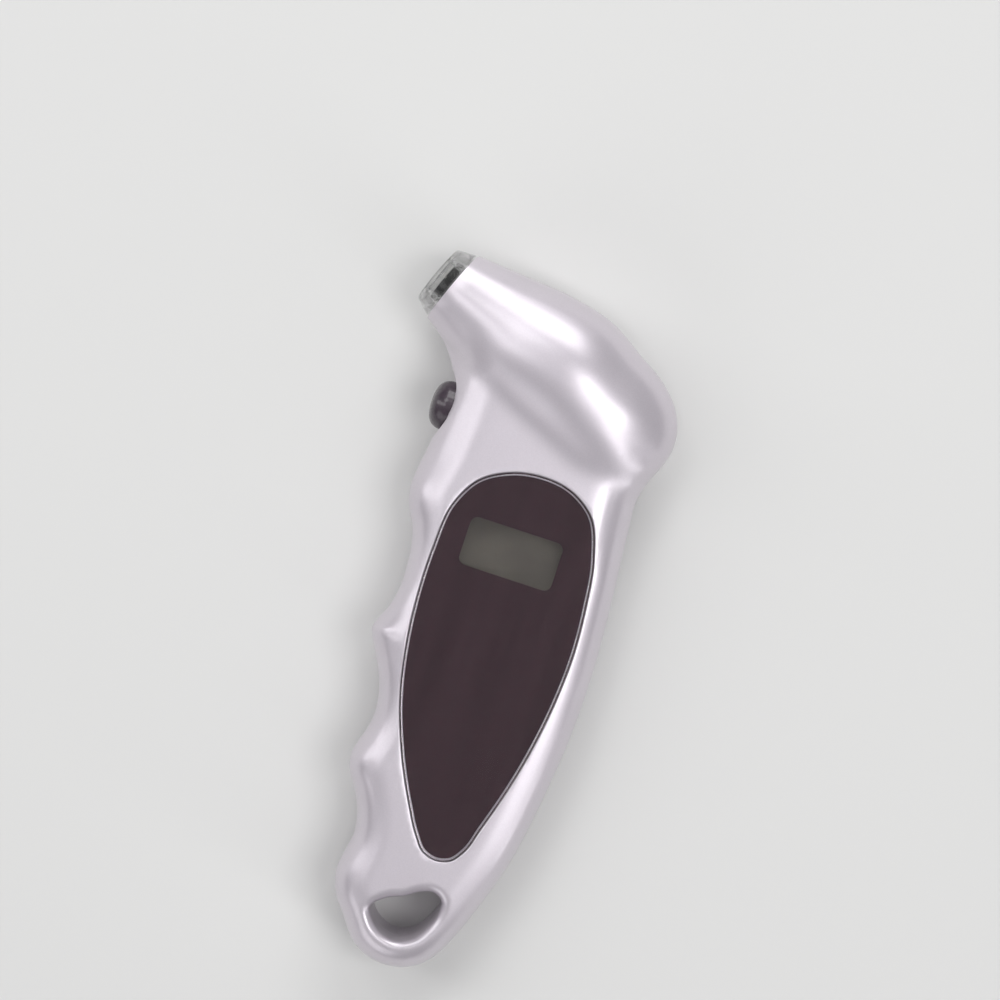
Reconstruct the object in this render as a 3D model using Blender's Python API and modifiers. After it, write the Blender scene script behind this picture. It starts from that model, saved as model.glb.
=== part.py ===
"""Digital tyre pressure gauge with a finger-grip handle, modelled as the separate pieces it is built from.

The gauge lies on its flat back: +Z comes out of the display, +Y runs up the handle to the head, and the
origin is under the middle of the gauge's box. Every size below is in millimetres.
"""

import math

import bmesh
import bpy
import numpy as np

MM = 0.001

# ---- driving dimensions ----
PARTING = 13.0            # height of the joint between the two shells
PARTING_GAP = 0.15        # each shell's rim stays this far from that plane
FRONT_FACE = 9.5          # flat front face, above the parting plane
BACK_FACE = 13.0          # flat back face, below the parting plane
WALL = 2.0
GAP = 0.3                 # clearance between pieces that touch

HEAD_ANGLE = 158.0        # the way the nozzle points, from +X, in degrees
MOUTH = (-23.25, 64.05)   # centre of the head's open end
HEAD_LENGTH = 56.5        # mouth to the round end of the head
CAP_START = 39.0          # where the head starts to close
CAP_POWER = 2.3
HEAD_RADIUS = [(0, 8.2), (10, 10.9), (20, 13.0), (30, 13.8), (39, 13.4)]
HEAD_OFFSET = [(0, 0.0), (10, 0.3), (20, 1.1), (30, 1.6), (40, 0.4), (56.5, -0.8)]
HEAD_RISE = [(0, 1.0), (20, 1.0), (32, 0.985), (40, 0.94), (48, 0.89), (56.5, 0.85)]
BLEND_POWER = 5.0         # higher makes a sharper valley between head and handle
EDGE_LOW = 5.4            # width of the rounded edge along the lower handle
EDGE_MORE = 2.6           # how much wider it gets towards the head
EDGE_CHANGE = (15.0, 15.0)  # where in Y that starts, and over what length
NECK_START = 1.0          # the handle fades in between these distances behind the mouth
NECK_LENGTH = 17.0

TAIL_CENTRE = (6.5, -60.5)
TAIL_RADIUS = 11.7
# The finger side, from the tail up to the neck under the nozzle.
GRIP_SIDE = [
    (-4.6, -65.0), (-7.6, -61.0), (-8.8, -56.5), (-8.3, -52.5), (-7.7, -48.5), (-8.5, -44.0),
    (-10.6, -39.5), (-12.7, -36.3), (-13.3, -33.3), (-12.6, -30.0), (-11.6, -26.5), (-11.4, -22.5),
    (-12.3, -18.0), (-14.0, -14.0), (-16.0, -10.4), (-17.3, -7.4), (-16.5, -4.8), (-15.3, -2.0),
    (-14.5, 2.0), (-14.5, 7.0), (-14.9, 11.0), (-16.0, 15.0), (-17.9, 18.5), (-18.8, 22.0),
    (-18.6, 27.0), (-18.0, 31.0), (-17.6, 35.0), (-17.3, 40.5), (-17.4, 45.0), (-18.2, 48.0),
    (-19.7, 50.5), (-21.6, 52.8),
]
# The palm side, from the tail up to the notch under the round end of the head.
PALM_SIDE = [
    (18.3, -63.0), (21.4, -55.0), (24.5, -45.0), (27.0, -30.0), (28.6, -12.0), (28.6, 0.0),
    (27.7, 14.0), (26.5, 28.0), (26.2, 34.5), (27.2, 38.3), (28.5, 41.5),
]
GRIP_GATE = (-17.6, 35.0)  # a straight chord joins these two at the top of the handle
PALM_GATE = (26.2, 34.5)

LENS_OUTLINE = [
    (5.7, 32.4), (-0.2, 31.2), (-5.8, 27.8), (-9.1, 22.0), (-10.2, 12.0), (-10.1, 0.5), (-9.0, -9.5),
    (-6.9, -19.2), (-3.3, -29.0), (1.4, -38.5), (4.7, -44.0), (6.9, -46.6), (9.7, -47.5),
    (12.5, -46.8), (14.6, -44.2), (16.4, -38.8), (19.4, -28.5), (21.5, -18.5), (22.8, -8.5),
    (23.2, 0.5), (22.6, 10.0), (21.1, 20.0), (17.6, 28.2), (12.3, 31.6),
]
RECESS_DEPTH = 1.8
LENS_THICK = 1.2
LENS_BEVEL = 0.25
FILM_THICK = 0.15
FILM_UNDER = 0.2          # air between the lens and the film
DISPLAY = (5.0, 15.85)     # centre of the display window
WINDOW = (19.6, 10.1)

HANG_HOLE = [
    (0.2, -60.9), (2.5, -58.3), (6.2, -56.6), (9.0, -54.8), (11.8, -54.2), (13.6, -55.4),
    (13.8, -58.0), (12.6, -61.3), (10.4, -64.3), (7.2, -65.8), (3.9, -65.2), (1.4, -63.3),
]

BUTTON = (-17.3, 40.5)     # where the button's axis leaves the grip side
BUTTON_WALL_RADIUS = 7.6
BUTTON_WALL_DEPTH = 3.7
SWITCH_BEHIND = 6.8        # from the button's axis point to the plunger's foot

BOARD_TOP = 10.7
BOARD_THICK = 1.6
BOARD_OUTLINE = [
    (-9.4, -8.5), (20.5, -8.5), (20.5, 32.0), (13.0, 38.5), (3.0, 38.5), (-2.0, 44.5), (-9.4, 44.5),
]
CASE_STUD, CASE_HOLE = (2.8, 3.3), 1.3   # stud radii in the front and rear shells, and their bore
SCREW_WELL = 2.4
BOARD_POST, POST_BORE = 2.3, 1.15
CASE_SCREWS = [(18.5, 52.0), (-12.9, 30.0), (-7.5, -13.0), (21.5, -13.0), (7.0, -50.0)]
BOARD_SCREWS = [(17.5, 28.6), (-6.1, 29.0), (5.5, -5.8)]

CELL_RADIUS = 5.8
CELL_LENGTH = 5.4
CELL_X = 8.0
CELL_Z = 8.9
BAY_LOW = (1.9, -38.0)     # battery bay, corner to corner
BAY_HIGH = (14.1, -14.0)
BAY_WALL = 2.4
BAY_TOP = 12.4
HINGE = (-38.9, 1.25)      # the door's hinge line, in Y and Z
DOOR_PLATE = ((0.5, -38.9, 0.4), (15.5, -13.2, 2.0))
BARREL_RADIUS = 0.85
PIN_RADIUS = 0.52
GROOVE_FIRST = -19.5       # the thumb grooves near the door's free end, in Y
GROOVE_STEP = 1.5
GROOVE_WIDTH = 0.7
GROOVES = 4
CELLS = 3
CELL_START = -32.4
SPRING_START = -37.2       # the coil spring behind the first cell, in Y
SPRING_LENGTH = 4.35
SPRING_POINTS = 31
CORE_TAIL = -52.0          # below this the handle is solid round the hang hole


# ---- scene and small tools ----
def clear_scene():
    for item in list(bpy.data.objects):
        bpy.data.objects.remove(item)


def new_collection(name):
    made = bpy.data.collections.new(name)
    bpy.context.scene.collection.children.link(made)
    return made


def material(name, colour, roughness, metallic=0.0, alpha=1.0):
    made = bpy.data.materials.new(name)
    made.use_nodes = True
    shader = made.node_tree.nodes["Principled BSDF"]
    shader.inputs["Base Color"].default_value = (*colour, 1.0)
    shader.inputs["Roughness"].default_value = roughness
    shader.inputs["Metallic"].default_value = metallic
    shader.inputs["Alpha"].default_value = alpha
    return made


def place(item, collection, finish=None):
    """Moves a new object into a collection and gives it its material."""
    for old in list(item.users_collection):
        old.objects.unlink(item)
    collection.objects.link(item)
    if finish:
        item.data.materials.append(finish)
    if collection is CUTTERS:
        item.hide_render = True
        item.display_type = "WIRE"
    return item


def mesh_object(name, bm, collection, finish=None):
    mesh = bpy.data.meshes.new(name)
    bmesh.ops.recalc_face_normals(bm, faces=bm.faces)
    bm.to_mesh(mesh)
    bm.free()
    item = bpy.data.objects.new(name, mesh)
    return place(item, collection, finish)


def smooth(item, angle=35.0):
    item.data.shade_smooth()
    item.data.set_sharp_from_angle(angle=math.radians(angle))
    return item


def box(name, low, high, collection, finish=None, bevel=0.0):
    """A block between two corners, with its edges bevelled if asked."""
    size = [b - a for a, b in zip(low, high)]
    middle = [(a + b) / 2 for a, b in zip(low, high)]
    bm = bmesh.new()
    bmesh.ops.create_cube(bm, size=1.0)
    bmesh.ops.scale(bm, vec=[x * MM for x in size], verts=bm.verts)
    item = mesh_object(name, bm, collection, finish)
    item.location = [x * MM for x in middle]
    if bevel:
        add_bevel(item, bevel)
    return item


def add_bevel(item, width, segments=1):
    bevel = item.modifiers.new("rounded edges", "BEVEL")
    bevel.width = width * MM
    bevel.segments = segments
    bevel.limit_method = "ANGLE"
    bevel.angle_limit = math.radians(40)
    return item


def cylinder(name, radius, low, high, collection, finish=None, sides=24, parent=None, at=(0, 0)):
    """A round bar along local Z, from low to high."""
    bm = bmesh.new()
    bmesh.ops.create_cone(
        bm, cap_ends=True, segments=sides, radius1=radius * MM, radius2=radius * MM,
        depth=(high - low) * MM,
    )
    item = mesh_object(name, bm, collection, finish)
    item.parent = parent
    item.location = (at[0] * MM, at[1] * MM, (low + high) / 2 * MM)
    return item


def turned(name, profile, collection, finish=None, sides=28, parent=None, at=(0, 0, 0)):
    """A lathe shape about local Z. The profile runs down the outer side and back up the bore, if any."""
    mesh = bpy.data.meshes.new(name)
    points = [(radius * MM, 0, height * MM) for radius, height in profile]
    edges = [(i, i + 1) for i in range(len(points) - 1)]
    if profile[0][0] > 0 and profile[-1][0] > 0:
        edges.append((len(points) - 1, 0))
    mesh.from_pydata(points, edges, [])
    item = bpy.data.objects.new(name, mesh)
    place(item, collection, finish)
    item.parent = parent
    item.location = [x * MM for x in at]
    screw = item.modifiers.new("turned", "SCREW")
    screw.steps = sides
    screw.render_steps = sides
    screw.use_merge_vertices = True
    screw.merge_threshold = 0.00001
    screw.use_smooth_shade = True
    return item


def as_mesh(item, collection, finish=None):
    """Turns a curve or a modified object into a plain mesh with its caps welded."""
    bpy.context.view_layer.update()
    graph = bpy.context.evaluated_depsgraph_get()
    mesh = bpy.data.meshes.new_from_object(item.evaluated_get(graph))
    bm = bmesh.new()
    bm.from_mesh(mesh)
    bmesh.ops.remove_doubles(bm, verts=bm.verts, dist=0.00001)
    bm.to_mesh(mesh)
    bm.free()
    name, world = item.name, item.matrix_world.copy()
    bpy.data.objects.remove(item)
    mesh.materials.clear()
    made = bpy.data.objects.new(name, mesh)
    made.matrix_world = world
    return place(made, collection, finish)


def plate(name, outline, low, high, collection, finish=None):
    """A flat outline given thickness, from height low to height high."""
    curve = bpy.data.curves.new(name, "CURVE")
    curve.dimensions = "2D"
    curve.fill_mode = "BOTH"
    curve.extrude = (high - low) / 2 * MM
    line = curve.splines.new("POLY")
    line.points.add(len(outline) - 1)
    for point, (x, y) in zip(line.points, outline):
        point.co = (x * MM, y * MM, 0, 1)
    line.use_cyclic_u = True
    item = bpy.data.objects.new(name, curve)
    item.location.z = (low + high) / 2 * MM
    return as_mesh(place(item, collection), collection, finish)


def tube(name, route, radius, collection, finish=None, steps=3, resolution=2):
    """A round wire or hose through the route's points."""
    curve = bpy.data.curves.new(name, "CURVE")
    curve.dimensions = "3D"
    curve.bevel_depth = radius * MM
    curve.bevel_resolution = resolution
    curve.use_fill_caps = True
    points = smooth_path(route, steps)
    line = curve.splines.new("POLY")
    line.points.add(len(points) - 1)
    for point, place_at in zip(line.points, points):
        point.co = (*[x * MM for x in place_at], 1)
    item = bpy.data.objects.new(name, curve)
    return place(item, collection, finish)


def combine(item, other, operation):
    step = item.modifiers.new(f"{operation.lower()} {other.name}", "BOOLEAN")
    step.operation = operation
    step.object = other
    step.solver = "EXACT"
    return item


def cut(item, *cutters):
    for cutter in cutters:
        combine(item, cutter, "DIFFERENCE")
    return item


# ---- curves ----
def smooth_path(knots, per_span, closed=False):
    """Points on a smooth curve through the knots. Its speed follows their spacing."""
    knots = np.array(knots, float)
    if closed:
        ring = np.vstack([knots[-1:], knots, knots[:2]])
    else:
        ring = np.vstack([2 * knots[:1] - knots[1:2], knots, 2 * knots[-1:] - knots[-2:-1]])
    made = []
    for a, b, c, d in zip(ring, ring[1:], ring[2:], ring[3:]):
        before, span, after = (np.linalg.norm(q - p) for p, q in ((a, b), (b, c), (c, d)))
        leave = ((b - a) / before * span + (c - b) / span * before) / (before + span) * span
        arrive = ((c - b) / span * after + (d - c) / after * span) / (span + after) * span
        for u in np.arange(per_span) / per_span:
            made.append(
                b * (2 * u**3 - 3 * u**2 + 1) + leave * (u**3 - 2 * u**2 + u)
                + c * (3 * u**2 - 2 * u**3) + arrive * (u**3 - u**2)
            )
    if not closed:
        made.append(knots[-1])
    return np.array(made)


def spaced(path, count):
    """count + 1 points evenly spaced along a path."""
    along = np.concatenate([[0], np.cumsum(np.linalg.norm(np.diff(path, axis=0), axis=1))])
    at = np.linspace(0, along[-1], count + 1)
    return np.stack([np.interp(at, along, path[:, k]) for k in range(path.shape[1])], axis=1)


def moved_right(path, distance, closed=False):
    """The path moved to the right of the way it runs."""
    if closed:
        way = np.roll(path, -1, axis=0) - np.roll(path, 1, axis=0)
    else:
        way = np.gradient(path, axis=0)
    way = way / np.linalg.norm(way, axis=1)[:, None]
    return path + distance * np.stack([way[:, 1], -way[:, 0]], axis=1)


def graph_of(knots, at):
    """A smooth function given by a few (place, value) knots."""
    line = smooth_path(knots, 8)
    return np.interp(at, line[:, 0], line[:, 1])


# ---- the body's outer form ----
HEAD_WAY = np.array([-math.cos(math.radians(HEAD_ANGLE)), -math.sin(math.radians(HEAD_ANGLE))])
HEAD_SIDE = np.array([-HEAD_WAY[1], HEAD_WAY[0]])


def head_radius(along, inset=0.0):
    """Radius of the head at a distance behind its mouth; its far end closes like a bullet."""
    open_part = graph_of(HEAD_RADIUS, np.minimum(along, CAP_START)) - inset
    reach = HEAD_LENGTH - CAP_START - inset
    share = np.clip((along - CAP_START) / reach, 0, 1)
    return np.maximum(open_part, 0) * (1 - share**CAP_POWER) ** (1 / CAP_POWER)


def head_edge(along, side):
    """A point of the head's outline, on the side that side's sign names."""
    across = graph_of(HEAD_OFFSET, along) + side * head_radius(along)
    return np.array(MOUTH) + along * HEAD_WAY + across * HEAD_SIDE


def tail_arc(angles):
    turn = [math.radians(angle) for angle in angles]
    return [
        (TAIL_CENTRE[0] + TAIL_RADIUS * math.cos(a), TAIL_CENTRE[1] + TAIL_RADIUS * math.sin(a))
        for a in turn
    ]


ROUND_END = (0.25, 1.2, 3.5, 7.0, 11.5)    # distances in from the head's round end, for its outline knots
KNOT_STEPS = 6


def body_sides(inset=0.0):
    """The grip side and the palm side, each as (tail to gate, gate to mouth), moved in by inset."""
    grip = tail_arc((270, 250, 230)) + GRIP_SIDE + [head_edge(s, -1) for s in (3.0, 0.0)]
    round_end = [HEAD_LENGTH - x for x in ROUND_END]
    top = [head_edge(s, 1) for s in round_end + [39, 33, 27, 21, 15, 10, 5, 0]]
    palm = tail_arc((270, 290, 310, 330)) + PALM_SIDE + top
    halves = []
    for knots, gate, sign in ((grip, GRIP_GATE, 1), (palm, PALM_GATE, -1)):
        path = moved_right(smooth_path(knots, KNOT_STEPS), sign * inset)
        turn = KNOT_STEPS * [tuple(k) for k in knots].index(gate)
        halves.append((path[: turn + 1], path[turn:]))
    return halves


OUTLINES = [np.vstack([lower, upper[1:]]) for lower, upper in body_sides()]


def distance_in(points):
    """How far each point lies from the nearer side of the outline."""
    nearest = np.full(len(points), np.inf)
    for path in OUTLINES:
        start, step = path[:-1], np.diff(path, axis=0)
        reach = points[:, None] - start
        share = np.clip((reach * step).sum(-1) / (step**2).sum(-1), 0, 1)
        nearest = np.minimum(nearest, np.linalg.norm(reach - share[..., None] * step, axis=-1).min(1))
    return nearest


def ease(value):
    value = np.clip(value, 0, 1)
    return value * value * (3 - 2 * value)


def body_height(points, face, inset=0.0):
    """Height of the skin over the parting plane: a round head melted into a handle with soft edges."""
    reach = points - np.array(MOUTH)
    along, across = reach @ HEAD_WAY, reach @ HEAD_SIDE
    radius = head_radius(np.clip(along, 0, HEAD_LENGTH - inset), inset)
    off = across - graph_of(HEAD_OFFSET, along)
    head = np.sqrt(np.maximum(radius**2 - off**2, 0)) * graph_of(HEAD_RISE, np.clip(along, 0, HEAD_LENGTH))
    edge = EDGE_LOW + EDGE_MORE * ease((points[:, 1] - EDGE_CHANGE[0]) / EDGE_CHANGE[1]) - inset
    rise = np.clip((distance_in(points) - inset) / edge, 0, 1)
    under_head = ease(0.5 - off / np.maximum(radius, 1.0))
    past_neck = ease((along - NECK_START) / NECK_LENGTH)
    handle = (face - inset) * np.sqrt(1 - (1 - rise) ** 2) * under_head * past_neck
    return (head**BLEND_POWER + handle**BLEND_POWER) ** (1 / BLEND_POWER)


def half_body(name, side, face, collection, finish=None, inset=0.0, counts=(44, 15), columns=12,
              tail=None, mouth=0.0, flat=False):
    """One half of the body as a closed solid: a skin lofted over chords from grip side to palm side."""
    (grip_low, grip_high), (palm_low, palm_high) = body_sides(inset)
    lower = np.stack([spaced(grip_low, counts[0]), spaced(palm_low, counts[0])], axis=1)
    upper = np.stack([spaced(grip_high, counts[1]), spaced(palm_high, counts[1])], axis=1)[1:]
    chords = np.vstack([lower, upper])
    if tail is not None:
        chords = chords[chords[:, :, 1].max(1) > tail]
    if mouth:
        keep = ((chords.mean(1) - np.array(MOUTH)) @ HEAD_WAY > mouth) | (chords[:, 0, 1] < GRIP_GATE[1])
        chords = chords[keep]
    spread = (1 - np.cos(np.linspace(0, math.pi, columns + 1))) / 2
    bm = bmesh.new()
    rows = []
    for grip, palm in chords:
        points = grip + spread[:, None] * (palm - grip)
        heights = body_height(points, face, inset)
        if flat:
            heights = np.minimum(heights, face - inset)
        heights[0] = heights[-1] = 0.0
        if np.linalg.norm(palm - grip) < 0.01:
            rows.append([bm.verts.new((*(grip * MM), PARTING * MM))] * (columns + 1))
            continue
        rows.append([
            bm.verts.new((x * MM, y * MM, (PARTING + side * z) * MM))
            for (x, y), z in zip(points, heights)
        ])
    for low, high in zip(rows, rows[1:]):
        for a, b, c, d in zip(low, low[1:], high[1:], high):
            bm.faces.new([v for i, v in enumerate((a, b, c, d)) if v not in (a, b, c, d)[:i]])
    bm.faces.new(rows[-1])
    if rows[0][0] is not rows[0][-1]:
        bm.faces.new(rows[0])
        bottom = [row[0] for row in rows] + [row[-1] for row in reversed(rows)]
    else:
        bottom = [row[0] for row in rows] + [row[-1] for row in reversed(rows[1:])]
    bm.faces.new(bottom)
    return mesh_object(name, bm, collection, finish)


# ---- start ----
clear_scene()
PARTS = new_collection("tyre_gauge")
CUTTERS = new_collection("cutters")

SILVER = material("silver_satin_paint", (0.60, 0.59, 0.64), 0.38, 0.45)
CLEAR = material("clear_acrylic", (0.93, 0.95, 0.96), 0.04, alpha=0.35)
POLYCARBONATE = material("clear_polycarbonate", (0.86, 0.88, 0.93), 0.12, alpha=0.5)
FILM = material("dark_printed_film", (0.045, 0.030, 0.036), 0.25)
GLASS = material("display_glass", (0.24, 0.25, 0.20), 0.10)
WHITE = material("white_plastic", (0.80, 0.80, 0.78), 0.50)
ZEBRA = material("striped_rubber", (0.50, 0.28, 0.30), 0.70)
GREEN = material("green_laminate", (0.05, 0.22, 0.10), 0.45)
BLACK = material("black_plastic", (0.02, 0.02, 0.02), 0.45)
RUBBER = material("black_rubber", (0.03, 0.03, 0.03), 0.80)
SILICONE = material("milky_silicone", (0.75, 0.76, 0.76), 0.55)
PLUM = material("plum_black_rubber", (0.055, 0.035, 0.055), 0.55)
BRASS = material("brass", (0.78, 0.57, 0.25), 0.30, 1.0)
NICKEL = material("bright_nickel", (0.72, 0.71, 0.68), 0.25, 1.0)
ZINC = material("zinc_plated_steel", (0.55, 0.55, 0.56), 0.35, 1.0)
RED = material("red_insulation", (0.55, 0.03, 0.03), 0.50)
JET = material("black_insulation", (0.02, 0.02, 0.02), 0.50)
LAMP = material("pale_lamp_resin", (0.85, 0.80, 0.50), 0.30)


def empty(name, at, turn):
    """A joint or assembly axis: its local Z is the axis."""
    item = bpy.data.objects.new(name, None)
    PARTS.objects.link(item)
    item.location = [x * MM for x in at]
    item.rotation_euler = [math.radians(angle) for angle in turn]
    return item


NOZZLE_AXIS = empty("nozzle_axis", (*MOUTH, PARTING), (0, 90, HEAD_ANGLE))
BUTTON_AXIS = empty("button_axis", (*BUTTON, PARTING), (0, -90, 0))
LENS = smooth_path(LENS_OUTLINE, 3, closed=True)
FRONT_Z = PARTING + FRONT_FACE


def lens_outline(grow):
    """The lens's outline, made larger or smaller all round. It runs anticlockwise."""
    return moved_right(LENS, grow, closed=True)


# ---- what hollows the two shells ----
# Each stud, wall and ledge is left standing by keeping the hollow clear of it.
FRONT_HOLLOW = half_body(
    "front_hollow", 1, FRONT_FACE, CUTTERS, inset=WALL, counts=(30, 10), columns=10,
    tail=CORE_TAIL, mouth=7.0,
)
REAR_HOLLOW = half_body(
    "rear_hollow", -1, BACK_FACE, CUTTERS, inset=WALL, counts=(30, 10), columns=10,
    tail=CORE_TAIL, mouth=7.0, flat=True,
)
BUTTON_WALL = cylinder(
    "button_wall", BUTTON_WALL_RADIUS, -BUTTON_WALL_DEPTH, 4, CUTTERS, parent=BUTTON_AXIS, sides=20,
)
cut(FRONT_HOLLOW, plate("ledge", lens_outline(1.0), FRONT_Z - 3.6, 40, CUTTERS), BUTTON_WALL)
BAY_BLOCK = box(
    "bay_block", (BAY_LOW[0] - BAY_WALL, BAY_LOW[1] - BAY_WALL, -5),
    (BAY_HIGH[0] + BAY_WALL, BAY_HIGH[1] + BAY_WALL, BAY_TOP), CUTTERS,
)
cut(REAR_HOLLOW, BUTTON_WALL, BAY_BLOCK)
for number, spot in enumerate(CASE_SCREWS, 1):
    cut(FRONT_HOLLOW, cylinder(f"front_stud_{number}", CASE_STUD[0], 10, 30, CUTTERS, at=spot, sides=16))
    cut(REAR_HOLLOW, cylinder(f"rear_stud_{number}", CASE_STUD[1], -5, 15, CUTTERS, at=spot, sides=16))
for number, spot in enumerate(BOARD_SCREWS, 1):
    cut(REAR_HOLLOW, cylinder(f"board_post_{number}", BOARD_POST, -5, 8.8, CUTTERS, at=spot, sides=12))

# ---- the shells ----
FRONT = half_body("front_shell", 1, FRONT_FACE, PARTS, SILVER)
REAR = half_body("rear_shell", -1, BACK_FACE, PARTS, SILVER, flat=True)


def hang_hole():
    """A prism through both shells that flares at the two faces, so that the hole's rims are rounded."""
    ring = smooth_path(HANG_HOLE, 2, closed=True)
    levels = [
        (-2.0, 3.6), (-0.01, 1.7), (0.6, 0.75), (1.8, 0.0), (20.7, 0.0), (21.9, 0.75), (22.51, 1.7),
        (24.5, 3.6),
    ]
    bm = bmesh.new()
    rings = []
    for height, grow in levels:
        outline = moved_right(ring, -grow, closed=True)
        rings.append([bm.verts.new((x * MM, y * MM, height * MM)) for x, y in outline])
    for low, high in zip(rings, rings[1:]):
        for i, a in enumerate(low):
            bm.faces.new((a, low[i - 1], high[i - 1], high[i]))
    bm.faces.new(rings[0])
    bm.faces.new(rings[-1])
    return mesh_object("hang_hole", bm, CUTTERS)


HANG = hang_hole()
SCOOP = turned(
    "button_scoop", [(0, 5), (10.5, 5), (7.6, 1.2), (6.5, -0.2), (5.9, -1.4), (0, -1.4)],
    CUTTERS, parent=BUTTON_AXIS, sides=24,
)
BORE = turned(
    "button_bore", [(0, 1), (5.45, 1), (5.45, -3.7), (6.5, -3.7), (6.5, -7.4), (0, -7.4)],
    CUTTERS, parent=BUTTON_AXIS, sides=24,
)
SOCKET = turned(
    "nozzle_socket", [(0, 3), (6.9, 3), (6.9, -9.5), (4.8, -9.5), (4.8, -21), (0, -21)], CUTTERS,
    parent=NOZZLE_AXIS,
)
cut(FRONT, box("front_joint", (-60, -90, -20), (60, 90, PARTING + PARTING_GAP), CUTTERS))
cut(REAR, box("rear_joint", (-60, -90, PARTING - PARTING_GAP), (60, 90, 60), CUTTERS))
cut(FRONT, FRONT_HOLLOW, HANG, SCOOP, BORE, SOCKET)
cut(REAR, REAR_HOLLOW, HANG, SCOOP, BORE, SOCKET)
cut(
    FRONT,
    plate("recess", lens_outline(GAP), FRONT_Z - RECESS_DEPTH, 40, CUTTERS),
    box("display_port", (-5.6, 10.2, 15), (15.6, 21.5, 22), CUTTERS),
)
cut(
    REAR,
    box("battery_bay", (*BAY_LOW, 1.0), (*BAY_HIGH, 20), CUTTERS),
    box("door_opening", (0.2, -40.1, -3), (15.8, -12.9, 2.3), CUTTERS),
    box("nail_notch", (5.0, -13.5, -2), (11.0, -11.4, 1.0), CUTTERS),
)
HINGE_AXIS = empty("door_hinge", (8.0, *HINGE), (0, 90, 0))
cut(REAR, cylinder("hinge_holes", BARREL_RADIUS, -9.0, 9.0, CUTTERS, parent=HINGE_AXIS, sides=12))
for number, spot in enumerate(CASE_SCREWS, 1):
    cut(FRONT, cylinder(f"front_pilot_{number}", CASE_HOLE, 8, 18.3, CUTTERS, at=spot, sides=12))
    cut(
        REAR,
        cylinder(f"rear_hole_{number}", CASE_HOLE, -4, 16, CUTTERS, at=spot, sides=12),
        cylinder(f"counterbore_{number}", SCREW_WELL, -5, 6.0, CUTTERS, at=spot, sides=16),
    )
for number, spot in enumerate(BOARD_SCREWS, 1):
    cut(REAR, cylinder(f"post_pilot_{number}", POST_BORE, 3.4, 14, CUTTERS, at=spot, sides=10))
smooth(FRONT)
smooth(REAR)

# ---- display ----
LENS_PLATE = plate("display_lens", lens_outline(0.0), FRONT_Z - LENS_THICK, FRONT_Z, PARTS, CLEAR)
add_bevel(LENS_PLATE, LENS_BEVEL)


def rounded_window(name, low, high, collection):
    width, height, radius = *WINDOW, 1.4
    corners = []
    for quarter, (sx, sy) in enumerate([(1, 1), (-1, 1), (-1, -1), (1, -1)]):
        for turn in (0, 30, 60, 90):
            angle = math.radians(90 * quarter + turn)
            corners.append((
                DISPLAY[0] + sx * (width / 2 - radius) + radius * math.cos(angle),
                DISPLAY[1] + sy * (height / 2 - radius) + radius * math.sin(angle),
            ))
    return plate(name, corners, low, high, collection)


FILM_Z = FRONT_Z - LENS_THICK - FILM_UNDER
LENS_FILM = plate("lens_film", lens_outline(-0.6), FILM_Z - FILM_THICK, FILM_Z, PARTS, FILM)
cut(LENS_FILM, rounded_window("film_window", FILM_Z - 2, FILM_Z + 2, CUTTERS))

GLASS_X = (DISPLAY[0] - 12.0, DISPLAY[0] + 12.0)
GLASS_Y = (DISPLAY[1] - 7.5, DISPLAY[1] + 7.5)
box("lcd_glass", (GLASS_X[0], GLASS_Y[0], 15.6), (GLASS_X[1], GLASS_Y[1], 18.0), PARTS, GLASS)
HOLDER = box(
    "lcd_holder", (GLASS_X[0] - 1.3, GLASS_Y[0] - 1.3, 11.0), (GLASS_X[1] + 1.3, GLASS_Y[1] + 1.3, 18.5),
    PARTS, WHITE,
)
cut(HOLDER, box(
    "holder_room", (GLASS_X[0] - GAP, GLASS_Y[0] - GAP, 9), (GLASS_X[1] + GAP, GLASS_Y[1] + GAP, 20),
    CUTTERS,
))
box("light_guide", (-6, 10.9, 13.6), (16, 20.8, 15.2), PARTS, CLEAR, bevel=0.3)
box("backlight_lamp", (3.2, 14.5, 11.0), (6.8, 17.3, 12.6), PARTS, LAMP, bevel=0.3)
box("contact_strip_1", (-6, 21.3, 11.0), (16, 22.8, 15.3), PARTS, ZEBRA)
box("contact_strip_2", (-6, 8.9, 11.0), (16, 10.4, 15.3), PARTS, ZEBRA)

# ---- board ----
BOARD = plate(
    "circuit_board", BOARD_OUTLINE, BOARD_TOP - BOARD_THICK, BOARD_TOP, PARTS, GREEN,
)
for number, spot in enumerate(BOARD_SCREWS, 1):
    cut(BOARD, cylinder(f"board_hole_{number}", 1.2, 5, 15, CUTTERS, at=spot, sides=12))
box("controller_chip", (9.0, -5.5, 11.0), (16.0, 1.5, 12.4), PARTS, BLACK, bevel=0.3)
SENSOR = box("pressure_sensor", (4.4, 27.6, 11.0), (11.6, 34.8, 15.6), PARTS, BLACK, bevel=0.5)
SENSOR_AXIS = empty("sensor_port", (8.0, 34.0, 13.3), (-90, 0, 0))
combine(SENSOR, cylinder("port", 0.95, 0.0, 4.6, CUTTERS, parent=SENSOR_AXIS, sides=12), "UNION")
HOSE_ROUTE = [
    (-9.0, 58.3, PARTING), (-6.2, 57.15, PARTING), (-1.0, 54.6, PARTING), (3.8, 50.4, 13.1),
    (6.9, 45.0, 13.2), (7.9, 39.5, 13.3), (8.0, 35.3, 13.3),
]
HOSE = as_mesh(tube("air_tube", HOSE_ROUTE, 1.9, PARTS), PARTS, SILICONE)
HOSE_BORE = as_mesh(
    tube("hose_bore", [(-12.0, 59.5, PARTING), *HOSE_ROUTE, (8.0, 32.0, 13.3)], 1.3, CUTTERS), CUTTERS,
)
cut(HOSE, HOSE_BORE)
smooth(HOSE)

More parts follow.
